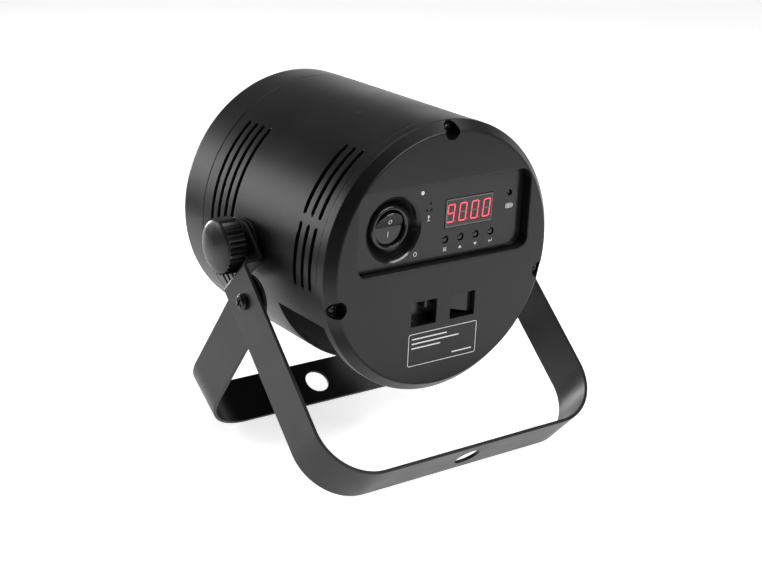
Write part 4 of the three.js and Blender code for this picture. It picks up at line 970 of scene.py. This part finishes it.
class PARCAN_OT_panel(bpy.types.Operator):
    """Make the fascia, its printed signs, the switch, the buttons and the display"""

    bl_idname = "par_can.panel"
    bl_label = "Control panel"

    def execute(self, context):
        self.fascia(context.scene.par_can_sizes.dish / MM)
        self.signs()
        self.switch()
        self.rocker()
        self.buttons()
        self.display()
        self.indicator()
        return {"FINISHED"}

    def fascia(self, dish):
        floor = FACE + 6
        bore = 10.4
        edges = (PANEL_LOW.x, PANEL_HIGH.x, PANEL_LOW.z, PANEL_HIGH.z)
        levels = ((-0.5, 0), (-0.15, 0.15), (0, 0.5), (0, 2))
        plate = loft(*[(frame_outline(*edges, 6.2, grow), FACE + depth) for grow, depth in levels])
        back = [(bore, floor + 1.4), (dish - 1.8, floor + 1.4), (dish + 1.6, FACE + 1), (bore, FACE + 1)]
        bowl = shifted(lathe(rounded(back, [0, 3, 0, 0], 6), 96), (SWITCH[0], 0, SWITCH[1]))
        whole = combined(plate, [bowl], "UNION")
        hollow = [(0, FACE - 2), (dish + 1.2, FACE - 2), (dish + 1.2, FACE), (dish - 0.2, FACE + 0.9)]
        hollow += [(12.7, floor), (0, floor)]
        cutter = lathe(rounded(hollow, [0, 0, 0.05, 3.0, 4.2, 0], 10), 96)
        hole = circle(10.6, SWITCH, 64)
        cuts = [shifted(cutter, (SWITCH[0], 0, SWITCH[1])), loft((hole, floor - 1), (hole, floor + 3))]
        screen = (SCREEN_LOW.x - 0.3, SCREEN_HIGH.x + 0.3, SCREEN_LOW.z - 0.3, SCREEN_HIGH.z + 0.3, 0.2)
        cuts.append(sunk(lambda grow: frame_outline(*screen, grow, 2), FACE, 4, 0.2))
        holes = [(button_spot(name), 2.0, 32, 0.2) for name in BUTTONS]
        holes += [(spot, 0.55, 16, 0.1) for spot in MIC_HOLES]
        holes.append((middle("battery_led"), 1.6, 24, 0.2))
        for spot, r, steps, flare in holes:
            cuts.append(sunk(lambda grow: circle(r + grow, spot, steps), FACE, 4, flare))
        done = combined(whole, cuts)
        on_head("fascia", done, "fascia", "fascia_plastic", ["control_panel"], smooth=30, weight=95)

    def signs(self):
        """Plain signs in place of words: bars, arrows, a return stroke, a microphone and a battery."""
        ink, tip = 0.16, 1.1
        x, z = button_spot("menu")
        z -= 5.2
        strokes = [rectangle(x - tip, x + tip, z + dz - ink, z + dz + ink) for dz in (-0.7, 0, 0.7)]
        for name, way in (("up", 1), ("down", -1)):
            x = button_spot(name)[0]
            strokes.append([(x - tip, z - 0.8 * way), (x + tip, z - 0.8 * way), (x, z + 0.9 * way)])
        x = button_spot("enter")[0]
        strokes.append([(x - 1.3, z), (x - 0.3, z - 0.8), (x - 0.3, z + 0.8)])
        strokes.append(rectangle(x - 0.4, x + 1.2, z - 0.17, z + 0.17))
        strokes.append(rectangle(x + 0.86, x + 1.2, z + 0.1, z + 1.1))
        strokes.append(circle(1.05, ON_MARK, 24))
        x, z = MIC_MARK
        strokes.append(frame_outline(x - 0.55, x + 0.55, z - 0.3, z + 1.5, 0.5, 0, 4))
        strokes.append(rectangle(x - 0.9, x + 0.9, z - 1.5, z - 1.2))
        strokes.append(rectangle(x - 0.15, x + 0.15, z - 1.3, z - 0.2))
        x, z = (PANEL_HIGH.x - 9.3, 20.8)
        strokes.append(rectangle(x + 2.1, x + 2.6, z - 0.5, z + 0.5))
        strokes += [rectangle(x + dx, x + dx + 0.6, z - 0.65, z + 0.65) for dx in (-1.5, -0.5, 0.5)]
        cell = lambda grow: frame_outline(x - 2.3, x + 2.1, z - 1.2, z + 1.2, 0.4, grow, 3)
        rings = [print_ring(circle(1.15, OFF_MARK, 32), circle(0.8, OFF_MARK, 32), FACE)]
        rings.append(print_ring(cell(0), cell(-0.3), FACE))
        marks = together(*rings, *[printed(line, FACE) for line in strokes])
        on_head("panel_signs", marks, "print", "fascia_plastic")

    def switch(self):
        r = (SWITCH_HIGH.x - SWITCH_LOW.x) / 2
        front = SWITCH_LOW.y
        seat = front + 3
        profile = [(9.1, front), (r, front), (r, seat), (10, seat)]
        profile += [(10, seat + 19), (0, seat + 19), (0, seat + 8), (9.1, seat + 8)]
        shape = rounded(profile, [1.1, 1.5, 0.2, 0, 0.3, 0, 0, 0], 8)
        barrel = shifted(lathe(shape, 96), (SWITCH[0], 0, SWITCH[1]))
        x, z = SWITCH
        tabs = []
        for d in (-5, 0, 5):
            tab = block((x - 2.4, seat + 18, z + d - 0.4), (x + 2.4, seat + 26, z + d + 0.4))
            tabs.append(edged(tab, 0.15))
        on_head("switch_bezel", together(barrel, *tabs), "gloss", "gloss_plastic", ["switch_body"])

    def rocker(self):
        """The rocker's two flats meet in a valley. It sits tipped, its lower end pressed in."""
        throw = math.radians(12)
        r, valley = 8.75, 0.4
        rise = r * math.tan(throw)
        disc = lathe([(0, valley - rise - 0.2), (r, valley - rise - 0.2), (r - 0.7, 3.4), (0, 3.4)], 96)
        far = 2 * r
        low = valley - 2 * rise
        wedge = [(-far, low), (0, valley), (far, low), (far, -far), (-far, -far)]
        wedge = rounded(wedge, [0, 1.5, 0, 0, 0], 6)
        tool = skinned([[(x, y, z) for z, y in wedge] for x in (-far, far)])
        body = edged(combined(disc, [tool]), 0.45, 3, 40)
        turn = Matrix.Rotation(throw, 4, "X")
        at = HEAD.inverted() @ Vector(JOINTS["rocker_press"]["pos_m"])
        place = HEAD @ Matrix.Translation(at) @ turn
        piece("rocker_cap", body, place, finish("gloss"), "rocker", "gloss_plastic", ["rocker"], 30)
        ring = print_ring(curve(range(0, 360, 9), 1.05, 1.35), curve(range(0, 360, 9), 0.72, 1.02), 0)
        bar = printed(rectangle(-0.17, 0.17, -1.5, 1.5), 0)
        marks = []
        for mark, height in ((ring, 3.4), (bar, -3.6)):
            slope = Matrix.Rotation(throw if height > 0 else -throw, 4, "X")
            lift = valley - abs(height) * math.tan(throw)
            settle = Matrix.Translation((0, lift, height)) @ slope
            bmesh.ops.transform(mark, verts=mark.verts, matrix=settle)
            marks.append(mark)
        piece("rocker_marks", together(*marks), place, finish("print"), "rocker", "gloss_plastic")

    def buttons(self):
        for name, (low, high) in BUTTONS.items():
            r = 1.65
            profile = [(0, low.y), (r * 0.6, low.y + 0.05), (r, low.y + 0.35), (r, high.y), (0, high.y)]
            cap = lathe(rounded(profile, [0, 0, 0.25, 0.2, 0], 4), 40)
            x, z = button_spot(name)
            cap = shifted(cap, (x, 0, z))
            node = f"button_{name}"
            piece(f"{name}_button", cap, HEAD, finish("gloss"), node, "gloss_plastic", [node])

    def display(self):
        low, high = SCREEN_LOW, SCREEN_HIGH
        front = low.y
        outer = lambda grow: frame_outline(low.x, high.x, low.z, high.z, 0.3, grow, 3)
        shell = loft((outer(-0.15), front), (outer(0), front + 0.15), (outer(0), front + 7.2))
        inner = outer(-0.55)
        case = combined(shell, [loft((inner, front - 1), (inner, front + 0.3))])
        on_head("display_shell", case, "display_case", "display_face", ["display_module"])
        on_head("display_window", loft((inner, front + 0.08), (inner, front + 0.4)), "epoxy", "display_face")
        x, z = middle("display_module")
        lit, dark = [], []
        for k, digit in enumerate(SHOWN):
            for name, outline in segments((x + (k - 1.5) * DIGIT_PITCH - 0.35, z)).items():
                # the strokes stand a hair in front of the window, whose face starts at 0.08
                stroke = loft((outline, front + 0.02), (outline, front + 0.3))
                (lit if name in DIGITS[digit] else dark).append(stroke)
        on_head("lit_segments", together(*lit), "lit", "display_face")
        on_head("unlit_segments", together(*dark), "unlit", "display_face")

    def indicator(self):
        low, high = local_box("battery_led", HEAD)
        r = 1.3
        profile = [(0, low.y)] + curve((60, 30, 0), r, -r, (0, low.y + r)) + [(r, high.y), (0, high.y)]
        x, z = middle("battery_led")
        lens = shifted(lathe(profile, 24), (x, 0, z))
        on_head("indicator_lens", lens, "epoxy", "indicator", ["battery_led"])


SHOWN = "9000"
DIGIT_PITCH = 7.75
DIGITS = {"9": "abcdfg", "0": "abcdef"}


def segments(at, width=4.7, height=9.6, thick=0.54, gap=0.1, slant=0.09):
    """The seven strokes and the point of one digit, as outlines in x and z."""
    w, h, t = width / 2, height / 2, thick / 2
    inner, outer = w - 2 * t - gap, w - t - gap

    def lying(z):
        high, low = z + t, z - t
        return [(-outer, z), (-inner, high), (inner, high), (outer, z), (inner, low), (-inner, low)]

    def lean(x, low, high):
        low, high = low + gap, high - gap
        right, left = x + t, x - t
        near, far = low + t, high - t
        return [(x, low), (right, near), (right, far), (x, high), (left, far), (left, near)]

    top, side = h - t, w - t
    strokes = {
        "a": lying(top),
        "g": lying(0),
        "d": lying(-top),
        "b": lean(side, 0, top),
        "c": lean(side, -top, 0),
        "f": lean(-side, 0, top),
        "e": lean(-side, -top, 0),
        "dot": circle(0.5, (w + 0.9, -h + 0.5), 16),
    }
    return {k: [(at[0] + x + z * slant, at[1] + z) for x, z in line] for k, line in strokes.items()}


# ------------------------------------------------------------------ sockets, boards and the battery
FIN_COUNT = 9
FIN_PITCH = 13.0


class PARCAN_OT_insides(bpy.types.Operator):
    """Make the heat sink, the battery and the other pieces inside"""

    bl_idname = "par_can.insides"
    bl_label = "Insides and sockets"

    REFINED = [
        # new name, CAD node, edge radius, finish, slot
        ("driver_board", "power_board", 0.2, "board", "circuit_board"),
        ("panel_board", "control_board", 0.15, "board", "circuit_board"),
        ("cell_tray", "battery_tray", 0.3, "zinc", "zinc_steel"),
        ("window_pocket", "port_box", 0.2, "gloss", "gloss_plastic"),
        ("window_socket", "service_socket", 0.25, "gloss", "gloss_plastic"),
        ("window_blank", "blank_plate", 0.2, "fascia", "gloss_plastic"),
        ("power_inlet", "mains_inlet", 0.3, "gloss", "gloss_plastic"),
        ("data_input", "data_in_socket", 0.25, "gloss", "gloss_plastic"),
        ("data_output", "data_out_socket", 0.25, "gloss", "gloss_plastic"),
        ("microphone", "mic_capsule", 0.2, "zinc", "aluminium"),
        ("insert_left", "pivot_insert_left", 0.2, "brass", "brass"),
        ("insert_right", "pivot_insert_right", 0.2, "brass", "brass"),
    ]

    def execute(self, context):
        for name, node, width, look, slot in self.REFINED:
            on_head(name, refined(node, HEAD, width), look, slot, [node])
        self.sink()
        self.cells()
        return {"FINISHED"}

    def sink(self):
        low, high = local_box("heat_sink", HEAD)
        base = high.y - 6
        r = high.x
        disc = edged(lathe([(0, base), (r, base), (r, high.y), (0, high.y)], 96), 0.4)
        fin = edged(block((-1, low.y, -r + 1.5), (1, base + 0.5, r - 1.5)), 0.4)
        fins = repeated(fins_tree(), fin, finish("aluminium"), Count=FIN_COUNT, Pitch=FIN_PITCH, Radius=r)
        on_head("fin_sink", together(disc, fins), "aluminium", "aluminium", ["heat_sink"])

    def cells(self):
        low, high = local_box("battery_pack", HEAD)
        r = (high.y - low.y) / 4
        length = 2 * high.x
        pole = r * 0.45
        profile = [(0, 0), (pole, 0), (pole, 0.8), (r - 1.2, 0.8), (r, 1.6), (r, length - 1.4), (0, length)]
        cell = lathe(rounded(profile, [0, 0.2, 0, 0.6, 0.6, 0.8, 0], 3), 40)
        spots = []
        for row in range(3):
            z = low.z + (high.z - low.z) * (row + 0.5) / 3
            for column in range(2):
                spots.append(((-high.x, low.y + r + column * 2 * r, z), (1, 0, 0)))
        pack = repeated(places_tree(), cell, finish("wrap"), places(spots), Seed=3, Turn=math.tau)
        on_head("cell_pack", pack, "wrap", "cell_wrap", ["battery_pack"])


# ------------------------------------------------------------------ screws
def pan_head(radius, height, shank, length):
    """A pan-head screw with a cross recess. Its head stands out along -Y from y = 0."""
    head = [(0, -height)] + curve((60, 30, 0), radius * 0.78, height * -0.18, (0, height * -0.82))
    head += [(radius, -height * 0.42), (radius, 0), (shank, 0)]
    head += [(shank, length - 0.5), (shank - 0.5, length), (0, length)]
    radii = [0, 0, 0, radius * 0.2, radius * 0.14, 0.1, 0.05, 0.1, 0.1, 0]
    body = lathe(rounded(head, radii, 3), 36)
    tools = []
    for long, wide in ((radius * 0.56, radius * 0.12), (radius * 0.12, radius * 0.56)):
        slot = lambda share: rectangle(-long * share, long * share, -wide * share, wide * share)
        tools.append(loft((slot(1.15), -height - 0.5), (slot(0.75), -height * 0.25)))
    return combined(body, tools)


class PARCAN_OT_screws(bpy.types.Operator):
    """Put the cross-recess screws in the cover, the optics and the brackets' hinges"""

    bl_idname = "par_can.screws"
    bl_label = "Screws"

    def execute(self, context):
        tree = places_tree()

        def set_of(name, spots, screw, look, seed, place, body, names):
            row = repeated(tree, screw, finish(look), places(spots), Seed=seed, Turn=math.tau)
            slot = "zinc_steel" if look == "zinc" else look
            piece(name, row, place, finish(look), body, slot, names)

        seat = WELL_FLOOR - 0.3
        wells = [well_spot(angle, SCREW_INSET) for angle in WELLS.values()]
        spots = [((x, seat, z), (0, 1, 0)) for x, z in wells]
        names = [f"cover_screw_{side}" for side in WELLS]
        set_of("cover_screws", spots, pan_head(3.1, 2.3, 1.4, 17), "black_steel", 5, HEAD, "head", names)

        low, high = local_box("optic_screw_1", HEAD)
        seat = high.y - 2
        spots = [((x, seat, z), (0, -1, 0)) for x, z in curve((90, 210, 330), 14, 14)]
        names = [f"optic_screw_{k}" for k in (1, 2, 3)]
        set_of("optic_screws", spots, pan_head(3, 2, 1.4, seat - low.y), "zinc", 8, HEAD, "head", names)

        low, high = local_box("hinge_screw_right", YOKE)
        seat = high.x - 2.6
        y, z = (low.y + high.y) / 2, (low.z + high.z) / 2
        spots = [((side * seat, y, z), (-side, 0, 0)) for side in (1, -1)]
        names = ["hinge_screw_left", "hinge_screw_right"]
        screw = pan_head(4.3, 2.6, 2.0, seat - low.x)
        set_of("hinge_screws", spots, screw, "black_steel", 2, YOKE, "yoke", names)
        return {"FINISHED"}


# ------------------------------------------------------------------ brackets
def bend_line(points, radii):
    """A line of straight runs and arcs, as (start of run, length, function of the distance along it)."""
    runs = []
    here = Vector(points[0])
    for i in range(1, len(points)):
        target = Vector(points[i])
        if i == len(points) - 1:
            runs.append(straight(here, target))
            break
        before = (Vector(points[i - 1]) - target).normalized()
        after = (Vector(points[i + 1]) - target).normalized()
        half = before.angle(after) / 2
        reach = radii[i] / math.tan(half)
        start = target + before * reach
        centre = target + (before + after).normalized() * radii[i] / math.sin(half)
        runs.append(straight(here, start))
        end = target + after * reach
        runs.append(arc(centre, start, end))
        here = end
    return runs


def straight(a, b):
    along = (b - a).normalized()
    return ("straight", (b - a).length, lambda d: (a + along * d, along))


def arc(centre, start, end):
    a, b = start - centre, end - centre
    sweep = -a.angle_signed(b)
    radius = a.length

    def at(d):
        turn = Matrix.Rotation(math.copysign(d / radius, sweep), 2)
        out = turn @ a
        along = Vector((-out.y, out.x)).normalized() * math.copysign(1, sweep)
        return centre + out, along

    return ("arc", radius * abs(sweep), at)


def pressed_strip(points, radii, width, thick, holes):
    """A bracket as it is really made: a flat strip with round ends and its holes, bent along a line.
    holes are (distance along the strip, radius)."""
    runs = bend_line(points, radii)
    stations = []
    travelled = 0.0
    for kind, length, _ in runs:
        steps = 1 if kind == "straight" else max(6, round(length / 1.6))
        stations += [travelled + length * k / steps for k in range(steps)]
        travelled += length
    end = travelled
    half = width / 2
    stations = [s for s in stations if half < s < end - half]
    cap = range(-84, 85, 6)
    near = curve(cap, -half, half, (half, 0))
    far = curve(cap, half, half, (end - half, 0))
    slab = bmesh.new()
    rails = []
    for level in (thick / 2, -thick / 2):
        low, high = (
            [slab.verts.new((along, side, level)) for along in (half, *stations, end - half)]
            for side in (-half, half)
        )
        first = [slab.verts.new((u, w, level)) for u, w in near]
        last = [slab.verts.new((u, w, level)) for u, w in far]
        for k in range(len(low) - 1):
            slab.faces.new((low[k], low[k + 1], high[k + 1], high[k]))
        slab.faces.new([low[0]] + first + [high[0]])
        slab.faces.new([low[-1]] + last + [high[-1]])
        rails.append(low + last + high[::-1] + first[::-1])
    for k in range(len(rails[0])):
        n = (k + 1) % len(rails[0])
        slab.faces.new((rails[0][k], rails[0][n], rails[1][n], rails[1][k]))
    bmesh.ops.recalc_face_normals(slab, faces=slab.faces)
    drills = []
    for u, radius in holes:
        ring = circle(radius, (u, 0), 56)
        drills.append(skinned([[(x, y, z) for x, y in ring] for z in (-thick, thick)]))
    strip = edged(combined(slab, drills), 0.3, 3, 60)
    for vertex in strip.verts:
        u, w, level = vertex.co
        left = min(max(u, 0.0), end)
        for _, length, at in runs:
            if left <= length:
                break
            left -= length
        place, along = at(min(left, length))
        outward = Vector((along.y, -along.x))
        spot = place + outward * level
        vertex.co = (spot.x, w, spot.y)
    bmesh.ops.recalc_face_normals(strip, faces=strip.faces)
    return strip, end


def mirrored(half):
    return half + [(-x, z) for x, z in reversed(half)]


EAR_X = 74.8
STEP_X = 85.3
SHELF_Z = -16.8
BAR_HOLE = 7.0
INNER_TOP_X = STAND_HIGH.x - 1.8


class PARCAN_OT_brackets(bpy.types.Operator):
    """Bend the yoke and the stand, and fit their washers and nuts"""

    bl_idname = "par_can.brackets"
    bl_label = "Brackets"

    def execute(self, context):
        sizes = context.scene.par_can_sizes
        thick = sizes.sheet / MM
        bend = sizes.bend / MM - thick / 2
        self.yoke(thick, bend)
        self.stand(thick, bend)
        for side in ("left", "right"):
            table = [
                ("pad", "friction_washer", 0.2, "rubber", "rubber"),
                ("nut", "hinge_nut", 0.35, "zinc", "zinc_steel"),
                ("spacer", "hinge_washer", 0.1, "nylon", "nylon"),
            ]
            for name, node, width, look, slot in table:
                node = f"{node}_{side}"
                piece(f"{name}_{side}", refined(node, YOKE, width), YOKE, finish(look), "yoke", slot, [node])
        return {"FINISHED"}

    def yoke(self, thick, bend):
        middle = thick / 2
        width = YOKE_HIGH.y - YOKE_LOW.y
        reach = -YOKE_LOW.z
        half = [
            (-EAR_X + middle, width / 2),
            (-EAR_X + middle, SHELF_Z - middle),
            (-STEP_X + middle, SHELF_Z - middle),
            (-YOKE_HIGH.x + middle, -reach + middle),
        ]
        radii = [0, thick, thick, bend, bend, thick, thick, 0]
        low, high = local_box("hinge_screw_right", YOKE)
        runs = bend_line(mirrored(half), radii)
        length = sum(run[1] for run in runs)
        to_hinge = along_to_height(runs, (low.z + high.z) / 2)
        holes = [(width / 2, 3.4), (length - width / 2, 3.4), (to_hinge, 2.4), (length - to_hinge, 2.4)]
        holes.append((length / 2, BAR_HOLE))
        strip, _ = pressed_strip(mirrored(half), radii, width, thick, holes)
        piece("yoke_strip", strip, YOKE, finish("bracket"), "yoke", "bracket_paint", ["yoke"])

    def stand(self, thick, bend):
        middle = thick / 2
        width = STAND_HIGH.y - STAND_LOW.y
        reach = -STAND_LOW.z
        slope = (STAND_HIGH.x - INNER_TOP_X) / reach
        half = [
            (-INNER_TOP_X + middle + slope * width / 2, width / 2),
            (-STAND_HIGH.x + middle, -reach + middle),
        ]
        radii = [0, bend, bend, 0]
        length = sum(run[1] for run in bend_line(mirrored(half), radii))
        holes = [(width / 2, 2.4), (length - width / 2, 2.4), (length / 2, BAR_HOLE)]
        strip, _ = pressed_strip(mirrored(half), radii, width, thick, holes)
        piece("stand_strip", strip, STAND, finish("bracket"), "stand", "bracket_paint", ["stand"])


def along_to_height(runs, height):
    """How far along the line its height first falls to the one given."""
    travelled = 0.0
    for _, length, at in runs:
        steps = 200
        for k in range(steps + 1):
            place, _ = at(length * k / steps)
            if place.y <= height:
                return travelled + length * k / steps
        travelled += length
    raise ValueError("the line never comes down to that height")


# ------------------------------------------------------------------ knobs
class PARCAN_OT_knobs(bpy.types.Operator):
    """Make the two ribbed clamp knobs and their studs"""

    bl_idname = "par_can.knobs"
    bl_label = "Knobs"

    def execute(self, context):
        count = context.scene.par_can_sizes.knob_ribs
        tree = ring_tree()
        for name, side in (("left", -1), ("right", 1)):
            place = YOKE @ Matrix.Rotation(math.radians(-90 * side), 4, "Z")
            body = self.body(tree, count)
            carrier = f"knob_{name}"
            piece(f"{name}_knob", body, place, finish("knob"), carrier, "knob_plastic", [carrier], 32)
            node = f"knob_stud_{name}"
            stud = refined(node, YOKE, 0.3)
            piece(f"{name}_stud", stud, YOKE, finish("zinc"), carrier, "zinc_steel", [node])
        return {"FINISHED"}

    def body(self, tree, count):
        start, tip = KNOB_LOW.x, KNOB_HIGH.x
        grip, rim = start + 2.9, start + 12.4
        r = KNOB_HIGH.y
        inner = r - 1.15
        dome = tip - rim
        profile = [(3.3, start), (8, start), (8, grip), (inner, grip), (inner, rim)]
        profile += [(x, rim + dome * z**1.15) for x, z in curve(range(15, 90, 15), inner, 1)]
        profile += [(0, tip), (0, start + 7), (3.3, start + 7)]
        core = lathe(rounded(profile, [0.3, 0.4, 0, 0.4] + [0] * (len(profile) - 4), 3), 96)
        pitch = math.tau * r / count
        half = pitch * 0.44
        ridge = [(-1.6, half), (-1.15, half), (-0.16, 0.2), (-0.08, 0)]
        ridge += [(x, -z) for x, z in reversed(ridge[:3])]
        inset = [(x if x < -1 else x - 0.35, z * 0.9) for x, z in ridge]
        rib = loft((inset, grip), (ridge, grip + 0.45), (ridge, rim - 0.35), (inset, rim + 0.1))
        ribs = repeated(tree, rib, finish("knob"), Count=count, Radius=r, First_angle=0.0)
        return together(core, ribs)


# ------------------------------------------------------------------ stage
CAMERA_AT = (-0.49365, -0.66675, 0.33346)
CAMERA_TURN = 36.66  # degrees from +Y towards +X
CAMERA_DIP = 16.75  # degrees below the horizon
CAMERA_ROLL = 0.65
LENS_MM = 76.4


class PARCAN_OT_stage(bpy.types.Operator):
    """Set the camera, the lit white table and the soft studio lights"""

    bl_idname = "par_can.stage"
    bl_label = "Studio"

    AIM = Vector((0, 0, 0.1))
    LIGHTS = [
        # name, direction from the object, distance, width, height, power
        ("overhead", (0.05, 0.1, 1.0), 1.6, 1.6, 1.6, 9),
        ("top_right", (0.57, -0.17, 0.8), 1.2, 0.18, 0.18, 1.4),
        ("strip_behind_camera", (0.28, -0.78, 0.5), 1.6, 1.1, 0.16, 13),
        ("left_bank", (-0.67, 0.68, 0.3), 0.75, 0.18, 0.32, 0.8),
        ("back_strip", (-0.16, 1.0, 0.08), 1.7, 0.35, 0.4, 10),
    ]

    FLAGS = [
        # black cloths laid on the table, out of the frame: they keep its light off the sides that face them
        ("flag_front", (-2500, -3000), (2500, -500)),
        ("flag_near", (-290, -499), (-50, -290)),
        ("flag_left", (-1300, -499), (-291, -60)),
        ("flag_back", (-1500, 350), (-220, 1500)),
    ]

    def execute(self, context):
        self.camera(context)
        self.floor()
        self.world(context)
        context.scene.view_settings.view_transform = "Standard"
        for name, direction, distance, width, height, power in self.LIGHTS:
            light = bpy.data.lights.new(name, "AREA")
            light.shape = "RECTANGLE"
            light.size, light.size_y = width, height
            light.energy = power
            lamp = bpy.data.objects.new(name, light)
            context.scene.collection.objects.link(lamp)
            away = Vector(direction).normalized()
            lamp.location = self.AIM + away * distance
            lamp.rotation_euler = away.to_track_quat("Z", "Y").to_euler()
        return {"FINISHED"}

    def camera(self, context):
        camera = bpy.data.cameras.new("show_camera")
        camera.lens = LENS_MM
        holder = bpy.data.objects.new("show_camera", camera)
        context.scene.collection.objects.link(holder)
        turn = Matrix.Rotation(math.radians(-CAMERA_TURN), 4, "Z")
        tip = Matrix.Rotation(math.radians(90 - CAMERA_DIP), 4, "X")
        roll = Matrix.Rotation(math.radians(CAMERA_ROLL), 4, "Z")
        holder.matrix_world = Matrix.Translation(CAMERA_AT) @ turn @ tip @ roll
        context.scene.camera = holder

    def floor(self):
        mesh = bmesh.new()
        bmesh.ops.create_circle(mesh, cap_ends=True, radius=6, segments=96)
        ground = loose(mesh, "table_top")
        ground.data.materials.append(finish("table"))
        for name, low, high in self.FLAGS:
            flag = loose(block((*low, 8), (*high, 9)), name)
            flag.data.transform(Matrix.Scale(MM, 4))
            flag.data.materials.append(finish("flag"))
            flag.visible_camera = False
            flag.visible_shadow = False

    def world(self, context):
        """A white wall low behind the object, under a dark ceiling."""
        world = bpy.data.worlds.new("studio")
        world.use_nodes = True
        tree = world.node_tree
        tree.nodes.clear()
        where = add(tree, "ShaderNodeTexCoord").outputs["Generated"]
        axes = add(tree, "ShaderNodeSeparateXYZ", {"Vector": where})
        strength = 1.0
        for axis, start, end, first, last in (
            ("Z", 0.2, 0.5, 1.0, 0.1), ("Y", -0.3, 0.5, 0.2, 1.0), ("X", -0.75, -0.1, 0.25, 1.0)
        ):
            fade = {"Value": axes.outputs[axis], "From Min": start, "From Max": end}
            fade.update({"To Min": first, "To Max": last})
            share = add(tree, "ShaderNodeMapRange", fade, interpolation_type="SMOOTHSTEP")
            strength = add(tree, "ShaderNodeMath", {0: strength, 1: share}, operation="MULTIPLY")
        sky = add(tree, "ShaderNodeBackground", {"Color": srgb("#ffffff"), "Strength": strength})
        add(tree, "ShaderNodeOutputWorld", {"Surface": sky})
        context.scene.world = world


# ------------------------------------------------------------------ add-on
class PARCAN_PT_panel(bpy.types.Panel):
    """Buttons for each group of pieces"""

    bl_label = "Par can"
    bl_idname = "PARCAN_PT_panel"
    bl_space_type = "VIEW_3D"
    bl_region_type = "UI"
    bl_category = "Par can"

    def draw(self, context):
        for operator in OPERATORS:
            self.layout.operator(operator.bl_idname)
        for group in (context.scene.par_can_sizes, context.scene.par_can_colours):
            for key in group.__annotations__:
                self.layout.prop(group, key)


OPERATORS = (
    PARCAN_OT_stage,
    PARCAN_OT_barrel,
    PARCAN_OT_front,
    PARCAN_OT_rear_cover,
    PARCAN_OT_panel,
    PARCAN_OT_insides,
    PARCAN_OT_screws,
    PARCAN_OT_brackets,
    PARCAN_OT_knobs,
)
CLASSES = (ParCanSizes, ParCanColours, *OPERATORS, PARCAN_PT_panel)


def register():
    for each in CLASSES:
        bpy.utils.register_class(each)
    bpy.types.Scene.par_can_sizes = bpy.props.PointerProperty(type=ParCanSizes)
    bpy.types.Scene.par_can_colours = bpy.props.PointerProperty(type=ParCanColours)


def unregister():
    del bpy.types.Scene.par_can_colours
    del bpy.types.Scene.par_can_sizes
    for each in reversed(CLASSES):
        bpy.utils.unregister_class(each)


def main():
    register()
    for operator in OPERATORS:
        group, name = operator.bl_idname.split(".")
        getattr(getattr(bpy.ops, group), name)()


if __name__ == "__main__":
    main()
